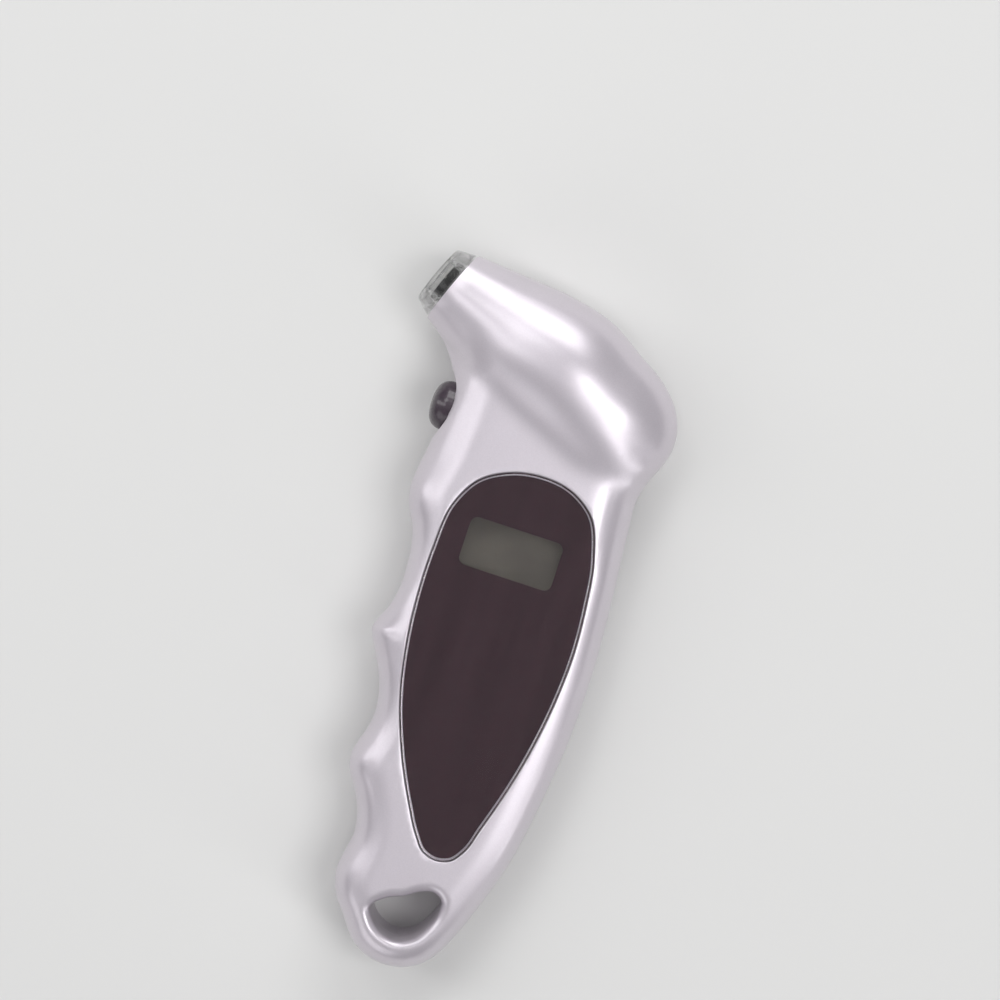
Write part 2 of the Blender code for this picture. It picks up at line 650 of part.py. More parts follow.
# ---- nozzle: heights are along its axis, outward from the head's open end ----
turned(
    "nozzle_ring",
    [(5.2, 4.2), (6.2, 4.05), (6.6, 3.5), (7.95, 0.3), (6.6, 0.3), (6.6, -5.0), (4.9, -5.0), (4.9, 3.9)],
    PARTS, POLYCARBONATE, parent=NOZZLE_AXIS,
)
turned(
    "valve_seal",
    [(4.15, 2.3), (4.6, 2.3), (4.6, -4.7), (1.6, -4.7), (1.6, -1.7), (4.15, -1.7)],
    PARTS, RUBBER, parent=NOZZLE_AXIS, sides=20,
)
turned(
    "depressor_pin",
    [(0, 0.4), (0.7, 0.2), (0.9, -0.3), (0.9, -5.4), (2.5, -5.4), (2.5, -6.6), (0, -6.6)],
    PARTS, BRASS, parent=NOZZLE_AXIS, sides=12,
)
turned(
    "nozzle_core",
    [
        (6.5, -5.3), (6.5, -8.6), (4.2, -8.6), (4.2, -14.6), (1.0, -14.6), (1.0, -18.6), (0.5, -18.6),
        (0.5, -9.0), (1.4, -7.0), (2.9, -7.0), (2.9, -5.3),
    ],
    PARTS, WHITE, parent=NOZZLE_AXIS, sides=20,
)

# ---- power button and its switch ----
turned(
    "power_button",
    [
        (0, 2.9), (2.0, 2.8), (3.5, 2.3), (4.7, 1.4), (5.15, 0.3), (5.15, -4.0), (6.1, -4.0),
        (6.1, -4.9), (2.0, -4.9), (2.0, -6.5), (0, -6.5),
    ],
    PARTS, PLUM, parent=BUTTON_AXIS,
)
PLUNGER_X = BUTTON[0] + SWITCH_BEHIND
PLUNGER_AXIS = empty("plunger_axis", (PLUNGER_X, BUTTON[1], PARTING), (0, 90, 0))
turned(
    "switch_plunger", [(0, 3.2), (1.1, 3.2), (1.1, 0.2), (0.9, 0), (0, 0)], PARTS, BLACK,
    parent=PLUNGER_AXIS, sides=14,
)
SWITCH = box(
    "switch_body", (PLUNGER_X + 1.4, 37.2, 11.0), (PLUNGER_X + 6.0, 43.8, 15.2), PARTS, BLACK, bevel=0.3,
)
cut(SWITCH, cylinder("plunger_room", 1.4, -1, 4.4, CUTTERS, parent=PLUNGER_AXIS, sides=14))

# ---- battery door, cells and contacts ----
DOOR = box("battery_door", *DOOR_PLATE, PARTS, SILVER)
DOOR_AXIS = empty("door_pins", (8.0, *HINGE), (0, 90, 0))
combine(DOOR, cylinder("barrel", BARREL_RADIUS, -7.5, 7.5, CUTTERS, parent=DOOR_AXIS, sides=12), "UNION")
combine(DOOR, cylinder("pins", PIN_RADIUS, -8.6, 8.6, CUTTERS, parent=DOOR_AXIS, sides=10), "UNION")
for number in range(GROOVES):
    edge = GROOVE_FIRST + GROOVE_STEP * number
    cut(DOOR, box(f"groove_{number}", (4.0, edge, -1), (12.0, edge + GROOVE_WIDTH, 0.8), CUTTERS))
for number in range(CELLS):
    start = CELL_START + number * (CELL_LENGTH + GAP)
    cell_axis = empty(f"cell_{number + 1}_axis", (CELL_X, start, CELL_Z), (-90, 0, 0))
    turned(
        f"button_cell_{number + 1}",
        [
            (0, CELL_LENGTH), (5.4, CELL_LENGTH), (CELL_RADIUS, CELL_LENGTH - 0.4), (CELL_RADIUS, 0.6),
            (5.2, 0.35), (5.0, 0), (0, 0),
        ],
        PARTS, NICKEL, parent=cell_axis, sides=24,
    )
CELLS_END = CELL_START + CELLS * CELL_LENGTH + (CELLS - 1) * GAP
box(
    "positive_contact", (3.5, CELLS_END + 0.35, 3.6), (12.5, CELLS_END + 0.75, 14.6), PARTS, NICKEL,
)


def spring_turns():
    """Three turns of a coil that narrows from 4.4 to 2.5 mm radius towards the first cell."""
    points = []
    for i in range(SPRING_POINTS):
        share = i / (SPRING_POINTS - 1)
        angle = 3 * math.tau * share
        radius = 4.4 - 1.9 * share
        points.append((
            CELL_X + radius * math.cos(angle), SPRING_START + SPRING_LENGTH * share,
            CELL_Z + radius * math.sin(angle),
        ))
    return points


tube("negative_contact", spring_turns(), 0.35, PARTS, NICKEL, steps=1, resolution=1)
tube(
    "positive_wire", [(11.0, -14.2, 13.6), (11.0, -12.6, 13.7), (9.0, -10.0, 12.9), (6.8, -7.6, 11.9)],
    0.45, PARTS, RED, resolution=1,
)
tube(
    "negative_wire",
    [
        (4.0, -37.2, 13.7), (0.2, -37.0, 13.5), (-1.4, -33.0, 13.6), (-1.4, -24.0, 13.6),
        (-1.4, -16.0, 13.6), (0.6, -11.0, 13.0), (2.0, -7.6, 11.9),
    ],
    0.45, PARTS, JET, resolution=1,
)

# ---- screws, each driven from its head ----
for number, spot in enumerate(CASE_SCREWS, 1):
    screw_axis = empty(f"case_screw_{number}_axis", (*spot, 0), (0, 0, 0))
    turned(
        f"case_screw_{number}",
        [(0, 17.4), (0.7, 17.4), (1.0, 16.8), (1.0, 5.7), (2.1, 5.7), (2.1, 4.9), (1.6, 4.3), (0, 4.3)],
        PARTS, ZINC, parent=screw_axis, sides=12,
    )
for number, spot in enumerate(BOARD_SCREWS, 1):
    screw_axis = empty(f"board_screw_{number}_axis", (*spot, 0), (0, 0, 0))
    turned(
        f"board_screw_{number}",
        [(0, 12.2), (1.2, 12.2), (1.8, 11.7), (1.8, 11.0), (0.85, 11.0), (0.85, 4.6), (0, 4.2)],
        PARTS, ZINC, parent=screw_axis, sides=12,
    )
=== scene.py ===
# %% [markdown]
# # A digital tyre pressure gauge
# The gauge is a silver finger-grip handle with a long dark display lens, a round head whose clear nozzle
# presses onto a tyre valve, and one button in the grip side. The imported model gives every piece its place;
# this lesson makes the surfaces that are seen. First it loads that model and keeps its box.

import math

import bmesh
import bpy
import numpy as np
from mathutils import Matrix, Vector
from mathutils.geometry import delaunay_2d_cdt


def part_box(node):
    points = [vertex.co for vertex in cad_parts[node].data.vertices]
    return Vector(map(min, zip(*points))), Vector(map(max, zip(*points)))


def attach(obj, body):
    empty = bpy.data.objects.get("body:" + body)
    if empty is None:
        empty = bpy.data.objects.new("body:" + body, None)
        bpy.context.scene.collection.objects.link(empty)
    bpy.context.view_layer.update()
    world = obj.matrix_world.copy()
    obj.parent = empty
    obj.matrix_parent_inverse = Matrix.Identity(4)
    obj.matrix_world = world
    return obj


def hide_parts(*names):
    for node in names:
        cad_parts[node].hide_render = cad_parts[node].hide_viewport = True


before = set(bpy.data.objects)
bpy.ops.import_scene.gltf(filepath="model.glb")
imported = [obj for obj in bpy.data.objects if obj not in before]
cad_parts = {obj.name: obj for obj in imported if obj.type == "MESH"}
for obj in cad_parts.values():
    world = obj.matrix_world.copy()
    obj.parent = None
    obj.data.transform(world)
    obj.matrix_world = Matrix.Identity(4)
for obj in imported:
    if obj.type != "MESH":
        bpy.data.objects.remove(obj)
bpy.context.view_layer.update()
MM = 0.001


def lowest(node):
    """A CAD node's lowest corner, in millimetres."""
    return np.array(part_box(node)[0]) / MM


def highest(node):
    return np.array(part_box(node)[1]) / MM


# %% [markdown]
# ## Camera
# The gauge lies on its back, so the camera hangs straight above it. It is turned about its own axis, so that
# the handle leans to the right, as in a hand. A long lens keeps the hang hole's walls nearly upright.

# %% Camera above the gauge
LEAN = math.radians(18.2)
CAMERA_HEIGHT = 600.0
FRAME_WIDTH = 205.0
SENSOR = 36.0
PARTING = (lowest("front_shell")[2] + highest("rear_shell")[2]) / 2


def aim_camera(over, width):
    """A camera over a point of the gauge, that frames this width at the joint between the shells."""
    lens = bpy.data.cameras.new("camera")
    lens.sensor_width = SENSOR
    lens.lens = SENSOR * CAMERA_HEIGHT / width
    lens.clip_end = 20
    camera = bpy.data.objects.new("camera", lens)
    bpy.context.scene.collection.objects.link(camera)
    camera.location = (over[0] * MM, over[1] * MM, (PARTING + CAMERA_HEIGHT) * MM)
    camera.rotation_euler = (0, 0, LEAN)
    bpy.context.scene.camera = camera
    return camera


CAMERA = aim_camera(over=(-0.5, 25.5), width=FRAME_WIDTH)
print("lens in mm:", round(CAMERA.data.lens, 1))

# %% [markdown]
# ## Light and floor
# Satin paint shows its shape by long soft highlights, so tall softboxes stand left and right of the handle
# and a broad one leans over the head. Two small boxes hang higher up, each where the head mirrors it: one
# whitens the barrel behind the nozzle, the other the round end. A light high above reaches down into the hang
# hole; it is filtered, so that it leaves no glare on the flat lens. Floor and world are plain and pale.

# %% Softboxes, world and floor
def softbox(name, at, size, power, aim=(0, 0, 0.01)):
    """A rectangular area light, in metres and watts, turned towards a point."""
    light = bpy.data.lights.new(name, "AREA")
    light.shape = "RECTANGLE"
    light.size, light.size_y = size
    light.energy = power
    lamp = bpy.data.objects.new(name, light)
    bpy.context.scene.collection.objects.link(lamp)
    lamp.location = at
    lamp.rotation_euler = (Vector(aim) - Vector(at)).to_track_quat("-Z", "Y").to_euler()
    return lamp


def hide_glare(lamp):
    """The lamp then lights a surface without being mirrored in it, as through a polarising filter."""
    lamp.visible_glossy = False
    lamp.visible_transmission = False


softbox("left strip", (-0.58, 0.05, 0.50), (0.18, 1.10), 1.6)
softbox("right bank", (0.58, -0.18, 0.54), (0.13, 1.30), 1.75)
softbox("head bank", (-0.05, 0.90, 0.58), (0.60, 0.75), 4.9, aim=(0, 0.05, 0.02))
softbox("barrel light", (-0.33, 0.42, 0.93), (0.36, 0.34), 1.3, aim=(-0.01, 0.06, 0.02))
softbox("bulb light", (0.42, 0.10, 1.00), (0.26, 0.44), 2.5, aim=(0.03, 0.04, 0.02))
softbox("front fill", (-0.35, -0.80, 0.46), (0.9, 0.60), 1.8)
hide_glare(softbox("top light", (0.0, -0.15, 1.25), (0.25, 0.25), 1.5))


def make_world(colour, strength):
    """Even light from all round, which keeps the shadows soft."""
    world = bpy.data.worlds.new("pale studio")
    world.use_nodes = True
    background = world.node_tree.nodes["Background"]
    background.inputs["Color"].default_value = (*colour, 1)
    background.inputs["Strength"].default_value = strength
    bpy.context.scene.world = world


make_world((0.95, 0.94, 1.0), 0.15)
bpy.context.scene.view_settings.view_transform = "Standard"


def make_floor(half, height):
    """A pale square sheet of this half width, a hair under the gauge."""
    mesh = bpy.data.meshes.new("floor")
    corners = [(-half, -half, height), (half, -half, height), (half, half, height), (-half, half, height)]
    mesh.from_pydata(corners, [], [(0, 1, 2, 3)])
    floor = bpy.data.objects.new("floor", mesh)
    bpy.context.scene.collection.objects.link(floor)
    paper = bpy.data.materials.new("pale paper")
    paper.use_nodes = True
    shader = paper.node_tree.nodes["Principled BSDF"]
    shader.inputs["Base Color"].default_value = (0.71, 0.71, 0.70, 1)
    shader.inputs["Roughness"].default_value = 0.9
    shader.inputs["Specular IOR Level"].default_value = 0.1
    mesh.materials.append(paper)
    return floor


FLOOR = make_floor(half=3.0, height=-0.0002)

# %% [markdown]
# ## Finishes
# A finish is a Principled shader fed by a few procedural nodes that read Object coordinates, so it needs no
# image. One helper builds the common part: a fine grain that changes the roughness and the bump. Each
# material below says what it adds.

# %% Material helpers
def new_finish(name, colour, roughness, metallic=0.0, ior=None, transmission=0.0, coat=None):
    """A Principled material. Returns (material, shader, nodes, links)."""
    made = bpy.data.materials.new(name)
    made.use_nodes = True
    tree = made.node_tree
    shader = tree.nodes["Principled BSDF"]
    shader.inputs["Base Color"].default_value = (*colour, 1)
    shader.inputs["Roughness"].default_value = roughness
    shader.inputs["Metallic"].default_value = metallic
    shader.inputs["Transmission Weight"].default_value = transmission
    if ior:
        shader.inputs["IOR"].default_value = ior
    if coat:
        shader.inputs["Coat Weight"].default_value = coat[0]
        shader.inputs["Coat Roughness"].default_value = coat[1]
    return made, shader, tree.nodes, tree.links


def noise_node(nodes, links, scale, detail=3.0, stretch=(1, 1, 1)):
    """Noise over Object coordinates; scale is in cycles for each millimetre."""
    place = nodes.new("ShaderNodeTexCoord")
    mapping = nodes.new("ShaderNodeMapping")
    mapping.inputs["Scale"].default_value = stretch
    noise = nodes.new("ShaderNodeTexNoise")
    noise.inputs["Scale"].default_value = scale / MM
    noise.inputs["Detail"].default_value = detail
    links.new(place.outputs["Object"], mapping.inputs["Vector"])
    links.new(mapping.outputs["Vector"], noise.inputs["Vector"])
    return noise


def range_node(nodes, links, source, low, high, start=0.3, end=0.7):
    """Maps a 0 to 1 texture onto low to high."""
    spread = nodes.new("ShaderNodeMapRange")
    spread.inputs["From Min"].default_value = start
    spread.inputs["From Max"].default_value = end
    spread.inputs["To Min"].default_value = low
    spread.inputs["To Max"].default_value = high
    links.new(source, spread.inputs["Value"])
    return spread.outputs["Result"]


def mix_colours(nodes, links, share, first, second):
    """The first colour where the share is 0, the second where it is 1."""
    blend = nodes.new("ShaderNodeMix")
    blend.data_type = "RGBA"
    blend.inputs["A"].default_value = (*first, 1)
    blend.inputs["B"].default_value = (*second, 1)
    links.new(share, blend.inputs["Factor"])
    return blend.outputs["Result"]


def add_bump(nodes, links, shader, height, depth, strength=1.0):
    """Bump of this depth, in millimetres."""
    bump = nodes.new("ShaderNodeBump")
    bump.inputs["Strength"].default_value = strength
    bump.inputs["Distance"].default_value = depth * MM
    links.new(height, bump.inputs["Height"])
    links.new(bump.outputs["Normal"], shader.inputs["Normal"])
    return bump


GLOSS_SPREAD = 0.08    # how far a grained finish's roughness wanders either way


def grained(name, light, dark, roughness, grain, depth, metallic=0.0, coat=None):
    """A plain moulded or metal finish: its colour, roughness and bump wander with a fine grain."""
    made, shader, nodes, links = new_finish(name, light, roughness, metallic, coat=coat)
    noise = noise_node(nodes, links, grain)
    tone = range_node(nodes, links, noise.outputs["Fac"], 0, 1)
    links.new(mix_colours(nodes, links, tone, light, dark), shader.inputs["Base Color"])
    low, high = roughness - GLOSS_SPREAD, roughness + GLOSS_SPREAD
    gloss = range_node(nodes, links, noise.outputs["Fac"], low, high)
    links.new(gloss, shader.inputs["Roughness"])
    add_bump(nodes, links, shader, noise.outputs["Fac"], depth)
    return made


# %% [markdown]
# The silver of the handle is a sprayed metallic lacquer. Under a clear coat lie tiny flakes: a Voronoi
# pattern gives each flake its own brightness, and a slow noise makes the spray a little uneven, as such paint
# is. A flat grey metal would be quicker to set up, but it would look like chrome or like plain plastic.

# %% Silver lacquer
FLAKES = 5.5           # flakes in each millimetre
FLAKE_SHARE = 0.35     # how much of the colour's change comes from the flakes; the rest is the slow noise


def silver_lacquer():
    pale, deep = (0.69, 0.644, 0.695), (0.60, 0.557, 0.608)
    made, shader, nodes, links = new_finish("silver lacquer", pale, 0.36, metallic=0.5, coat=(0.35, 0.2))
    place = nodes.new("ShaderNodeTexCoord")
    flakes = nodes.new("ShaderNodeTexVoronoi")
    flakes.inputs["Scale"].default_value = FLAKES / MM
    links.new(place.outputs["Object"], flakes.inputs["Vector"])
    split = nodes.new("ShaderNodeSeparateColor")
    links.new(flakes.outputs["Color"], split.inputs["Color"])
    cloud = noise_node(nodes, links, 0.06, detail=2.0)
    mixed = nodes.new("ShaderNodeMath")
    mixed.operation = "MULTIPLY_ADD"
    mixed.inputs[1].default_value = FLAKE_SHARE
    links.new(split.outputs["Red"], mixed.inputs[0])
    links.new(range_node(nodes, links, cloud.outputs["Fac"], 0.1, 0.4), mixed.inputs[2])
    links.new(mix_colours(nodes, links, mixed.outputs[0], pale, deep), shader.inputs["Base Color"])
    links.new(range_node(nodes, links, split.outputs["Green"], 0.33, 0.40, 0, 1), shader.inputs["Roughness"])
    fine = noise_node(nodes, links, 3.0, detail=2.0)
    add_bump(nodes, links, shader, fine.outputs["Fac"], 0.004, strength=0.5)
    return made


SILVER = silver_lacquer()
print("made", SILVER.name)

# %% [markdown]
# ## The form of the body
# The whole body follows one rule: a round head, swept along a leaning axis, melts into a handle whose edges
# are rounded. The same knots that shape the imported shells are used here, but sampled far more finely. Smooth
# curves through a few knots are easier to change than hundreds of points.

# %% Curves through knots
def smooth_path(knots, per_span, closed=False):
    """Points on a smooth curve through the knots; its speed follows their spacing."""
    knots = np.array(knots, float)
    if closed:
        ring = np.vstack([knots[-1:], knots, knots[:2]])
    else:
        ring = np.vstack([2 * knots[:1] - knots[1:2], knots, 2 * knots[-1:] - knots[-2:-1]])
    made = []
    for a, b, c, d in zip(ring, ring[1:], ring[2:], ring[3:]):
        before, span, after = (np.linalg.norm(q - p) for p, q in ((a, b), (b, c), (c, d)))
        leave = ((b - a) / before * span + (c - b) / span * before) / (before + span) * span
        arrive = ((c - b) / span * after + (d - c) / after * span) / (span + after) * span
        for u in np.arange(per_span) / per_span:
            made.append(
                b * (2 * u**3 - 3 * u**2 + 1) + leave * (u**3 - 2 * u**2 + u)
                + c * (3 * u**2 - 2 * u**3) + arrive * (u**3 - u**2)
            )
    if not closed:
        made.append(knots[-1])
    return np.array(made)


def even_steps(path, step, closed=False):
    """The same path with points this far apart. A closed path comes back without its first point repeated."""
    if closed:
        path = np.vstack([path, path[:1]])
    along = np.concatenate([[0], np.cumsum(np.linalg.norm(np.diff(path, axis=0), axis=1))])
    at = np.linspace(0, along[-1], max(3, int(round(along[-1] / step))) + 1)
    even = np.stack([np.interp(at, along, path[:, k]) for k in range(path.shape[1])], axis=1)
    return even[:-1] if closed else even


SPAN_POINTS = 16       # points from one knot to the next


def graph_of(knots, at):
    """A smooth function given by a few (place, value) knots."""
    line = smooth_path(knots, SPAN_POINTS)
    return np.interp(at, line[:, 0], line[:, 1])


def moved_right(path, distance, closed=False):
    """The path moved to the right of the way it runs."""
    if closed:
        way = np.roll(path, -1, axis=0) - np.roll(path, 1, axis=0)
    else:
        way = np.gradient(path, axis=0)
    way = way / np.linalg.norm(way, axis=1)[:, None]
    return path + distance * np.stack([way[:, 1], -way[:, 0]], axis=1)


# %% [markdown]
# The head is a barrel that holds the nozzle at its mouth and closes like a bullet at its far end. A swept
# tube would do, but radius, bend and flatness all change along the way. Each of them is therefore a short
# list of (place, value) knots, counted in millimetres from the mouth, and can be changed without the others.

# %% The head's axis and radius
FRONT_FACE = highest("display_lens")[2] - PARTING
BACK_FACE = PARTING - lowest("rear_shell")[2]
WALL = 2.0
HEAD_ANGLE = 158.0     # degrees, the way the mouth looks
MOUTH = (-23.25, 64.05)
HEAD_LENGTH = 56.5
CAP_START = 39.0       # where the far end starts to close, and how squarely it closes
CAP_POWER = 2.3
HEAD_RADIUS = [(0, 8.2), (10, 10.9), (20, 13.0), (30, 13.8), (39, 13.4)]
HEAD_OFFSET = [(0, 0.0), (10, 0.3), (20, 1.1), (30, 1.6), (40, 0.4), (56.5, -0.8)]
HEAD_RISE = [(0, 1.0), (20, 1.0), (32, 0.985), (40, 0.94), (48, 0.89), (56.5, 0.85)]
BLEND_POWER = 5.0      # higher makes the fillet between head and handle tighter
HEAD_WAY = np.array([-math.cos(math.radians(HEAD_ANGLE)), -math.sin(math.radians(HEAD_ANGLE))])
HEAD_SIDE = np.array([-HEAD_WAY[1], HEAD_WAY[0]])


def head_radius(along, inset=0.0):
    """Radius of the head behind its mouth; its far end closes like a bullet."""
    open_part = graph_of(HEAD_RADIUS, np.minimum(along, CAP_START)) - inset
    share = np.clip((along - CAP_START) / (HEAD_LENGTH - CAP_START - inset), 0, 1)
    return np.maximum(open_part, 0) * (1 - share**CAP_POWER) ** (1 / CAP_POWER)


def head_edge(along, side):
    """A point on the head's outline; side is 1 or -1."""
    across = graph_of(HEAD_OFFSET, along) + side * head_radius(along)
    return np.array(MOUTH) + along * HEAD_WAY + across * HEAD_SIDE


print("handle", round(FRONT_FACE + BACK_FACE, 2), "mm thick, head", round(2 * head_radius(30.0), 1), "mm")

# %% [markdown]
# Seen from above, the handle has a grip side with hollows for the fingers and a fuller palm side. A Bezier
# curve could be drawn by hand, but a list of knots keeps every hollow easy to find and to move. The tail is
# an arc, and the last stretch of each side is the head's own edge, so that outline and head can't disagree.

# %% The outline, from the tail round both sides to the mouth
TAIL_CENTRE = (6.5, -60.5)
TAIL_RADIUS = 11.7
GRIP_SIDE = [
    (-4.6, -65.0), (-7.6, -61.0), (-8.8, -56.5), (-8.3, -52.5), (-7.7, -48.5), (-8.5, -44.0),
    (-10.6, -39.5), (-12.7, -36.3), (-13.3, -33.3), (-12.6, -30.0), (-11.6, -26.5), (-11.4, -22.5),
    (-12.3, -18.0), (-14.0, -14.0), (-16.0, -10.4), (-17.3, -7.4), (-16.5, -4.8), (-15.3, -2.0),
    (-14.5, 2.0), (-14.5, 7.0), (-14.9, 11.0), (-16.0, 15.0), (-17.9, 18.5), (-18.8, 22.0),
    (-18.6, 27.0), (-18.0, 31.0), (-17.6, 35.0), (-17.3, 40.5), (-17.4, 45.0), (-18.2, 48.0),
    (-19.7, 50.5), (-21.6, 52.8),
]
PALM_SIDE = [
    (18.3, -63.0), (21.4, -55.0), (24.5, -45.0), (27.0, -30.0), (28.6, -12.0), (28.6, 0.0),
    (27.7, 14.0), (26.5, 28.0), (26.2, 34.5), (27.2, 38.3), (28.5, 41.5),
]
ROUND_END = [HEAD_LENGTH - short for short in (0.25, 1.2, 3.5, 7.0, 11.5)]
HEAD_TOP = ROUND_END + [39, 33, 27, 21, 15, 10, 5, 0]    # places along the head where its top side has knots


def tail_arc(angles):
    """Points on the tail's round end, at these angles in degrees."""
    turn = [math.radians(angle) for angle in angles]
    return [
        (TAIL_CENTRE[0] + TAIL_RADIUS * math.cos(a), TAIL_CENTRE[1] + TAIL_RADIUS * math.sin(a))
        for a in turn
    ]


def body_outline():
    """The grip side and the palm side, each from the tail to the mouth."""
    grip = tail_arc((270, 250, 230)) + GRIP_SIDE + [head_edge(along, -1) for along in (3.0, 0.0)]
    palm = tail_arc((270, 290, 310, 330)) + PALM_SIDE + [head_edge(along, 1) for along in HEAD_TOP]
    return smooth_path(grip, SPAN_POINTS), smooth_path(palm, SPAN_POINTS)


def path_length(path):
    return np.linalg.norm(np.diff(path, axis=0), axis=1).sum()


GRIP_LINE, PALM_LINE = body_outline()
print("outline in mm:", round(path_length(GRIP_LINE) + path_length(PALM_LINE)))

# %% [markdown]
# The skin's height over the joint is a function of the place: half a circle across the barrel, and a flat
# face with a rounded edge on the handle. Adding the two with a high power melts them together like a moulded
# fillet. Sculpting could give such a form as well, but a function gives the same form at any fineness.

# %% How high the skin stands
CHUNK = 1500           # points worked on at once, which keeps the arrays small
EDGE_LOW, EDGE_MORE = 5.4, 2.6     # width of the rounded edge at the grip, and what the neck adds to it
EDGE_CHANGE = (15.0, 15.0)         # where along the handle the edge starts to widen, and over what length
NECK_START, NECK_LENGTH = 1.0, 17.0    # where the handle's share starts behind the mouth, and its run-in


def nearest_on(path, points):
    """Distance from each point to a polyline."""
    start, step = path[:-1], np.diff(path, axis=0)
    length = (step**2).sum(-1)
    found = []
    for i in range(0, len(points), CHUNK):
        reach = points[i:i + CHUNK, None] - start
        share = np.clip((reach * step).sum(-1) / length, 0, 1)
        found.append(np.linalg.norm(reach - share[..., None] * step, axis=-1).min(1))
    return np.concatenate(found)


def edge_distance(points):
    """Distance to the nearer side of the outline; every second point of it is near enough."""
    return np.minimum(nearest_on(GRIP_LINE[::2], points), nearest_on(PALM_LINE[::2], points))


def ease(value):
    """Goes from 0 to 1 without a kink."""
    value = np.clip(value, 0, 1)
    return value * value * (3 - 2 * value)


def skin_height(points, face, inset=0.0):
    """Height over the joint: a round head melted into a handle with soft edges."""
    reach = points - np.array(MOUTH)
    along, across = reach @ HEAD_WAY, reach @ HEAD_SIDE
    radius = head_radius(np.clip(along, 0, HEAD_LENGTH - inset), inset)
    off = across - graph_of(HEAD_OFFSET, along)
    head = np.sqrt(np.maximum(radius**2 - off**2, 0))
    head *= graph_of(HEAD_RISE, np.clip(along, 0, HEAD_LENGTH))
    change_start, change_length = EDGE_CHANGE
    edge = EDGE_LOW + EDGE_MORE * ease((points[:, 1] - change_start) / change_length) - inset
    rise = np.clip((edge_distance(points) - inset) / edge, 0, 1)
    under_head = ease(0.5 - off / np.maximum(radius, 1.0))
    past_neck = ease((along - NECK_START) / NECK_LENGTH)
    handle = (face - inset) * np.sqrt(1 - (1 - rise) ** 2) * under_head * past_neck
    return (head**BLEND_POWER + handle**BLEND_POWER) ** (1 / BLEND_POWER)


SOFT_SHARE = 0.55      # reach of the averaging, as a share of the distance from the edge
SOFT_REACH = 2.8       # the most it reaches
SOFT_RINGS = ((0.5, 5), (1.0, 9))      # (share of the reach, samples on that ring)


def soft_height(points, face):
    """The mean height over a small disc. The disc shrinks towards the edge, so the outline stays as it is."""
    reach = np.minimum(SOFT_SHARE * edge_distance(points), SOFT_REACH)
    samples = [skin_height(points, face)]
    for share, count in SOFT_RINGS:
        for i in range(count):
            turn = math.tau * (i + share) / count
            way = np.array([math.cos(turn), math.sin(turn)])
            samples.append(skin_height(points + (share * reach)[:, None] * way, face))
    return np.mean(samples, axis=0)


# %% [markdown]
# ## Skin as a height over the joint
# Each shell is smooth, with rounded rims where it is cut: the hang hole and the lens recess. A Boolean would
# leave hard, ragged rims on such a soft form, so the skin is triangulated with its edge rows laid along every
# rim. The rows crowd together where the form turns down, and each point's height is then worked out from its
# distance to the nearest rim. Blender's own Delaunay routine joins the rows and the points between.

# %% Rows of points along the rims
EDGE_STEP = 0.5
LINE_ROUND = 0.25      # rounding of a crisp moulded rim
EDGE_RADIUS = 8.0      # how far in from the outline the rows lie
EDGE_ROWS = 9          # how many, at a step of one millimetre
FEWEST_ROWS = 5
CRISP_ROWS, SOFT_ROWS = 3, 9    # rows round a rim whose rounding is under, or over, a millimetre
BITE = 0.985           # a moved row is dropped where it comes nearer to the outline than this share
CLEAR = 1.05           # rows keep this many roundings away from a rim
FILL = 1.8             # spacing of the points between the rows, in steps
FILL_GAP = 0.6         # what they keep free, in spacings
FILL_EDGE = 0.55       # and along the outline, in edge radii
MERGE = 1e-7           # points nearer than this become one


def turn_rows(radius, count):
    """Distances from a rim whose rounding of this radius is cut into equal turns."""
    return [radius * (1 - math.cos(math.pi / 2 * i / count)) for i in range(1, count + 1)]


def inside(points, loop):
    """Which points a closed loop holds, by counting crossings."""
    x, y = points[:, 0:1], points[:, 1:2]
    ax, ay = loop[:, 0], loop[:, 1]
    bx, by = np.roll(ax, -1), np.roll(ay, -1)
    found = []
    for i in range(0, len(points), CHUNK):
        px, py = x[i:i + CHUNK], y[i:i + CHUNK]
        spans = (ay > py) != (by > py)
        with np.errstate(divide="ignore", invalid="ignore"):
            cross = px < (bx - ax) * (py - ay) / (by - ay) + ax
        found.append((spans & cross).sum(1) % 2 == 1)
    return np.concatenate(found)


def closed_distance(loop, points):
    """Distance from each point to a closed loop."""
    return nearest_on(np.vstack([loop, loop[:1]]), points)


class Rim:
    """A closed loop that cuts the skin: its rounding and, for a recess, the height of its floor."""

    def __init__(self, loop, rounding, floor=None):
        if ((np.roll(loop, -1, axis=0) - loop)[:, ::-1] * [1, -1] * loop).sum() < 0:
            loop = loop[::-1]
        self.loop, self.rounding, self.floor = loop, rounding, floor

    def drop(self, points):
        """How far the rounding takes the skin down at each point."""
        away = closed_distance(self.loop, points)
        left = np.clip(self.rounding - away, 0, self.rounding)
        return self.rounding - np.sqrt(np.maximum(self.rounding**2 - left**2, 0))


def triangulate(points, edges):
    """Delaunay triangles through the points that keep the edges. Returns points and triangles."""
    made = delaunay_2d_cdt([Vector(p) for p in points], edges, [], 0, MERGE, False)
    return np.array([tuple(v) for v in made[0]]), np.array([tuple(f) for f in made[2]])


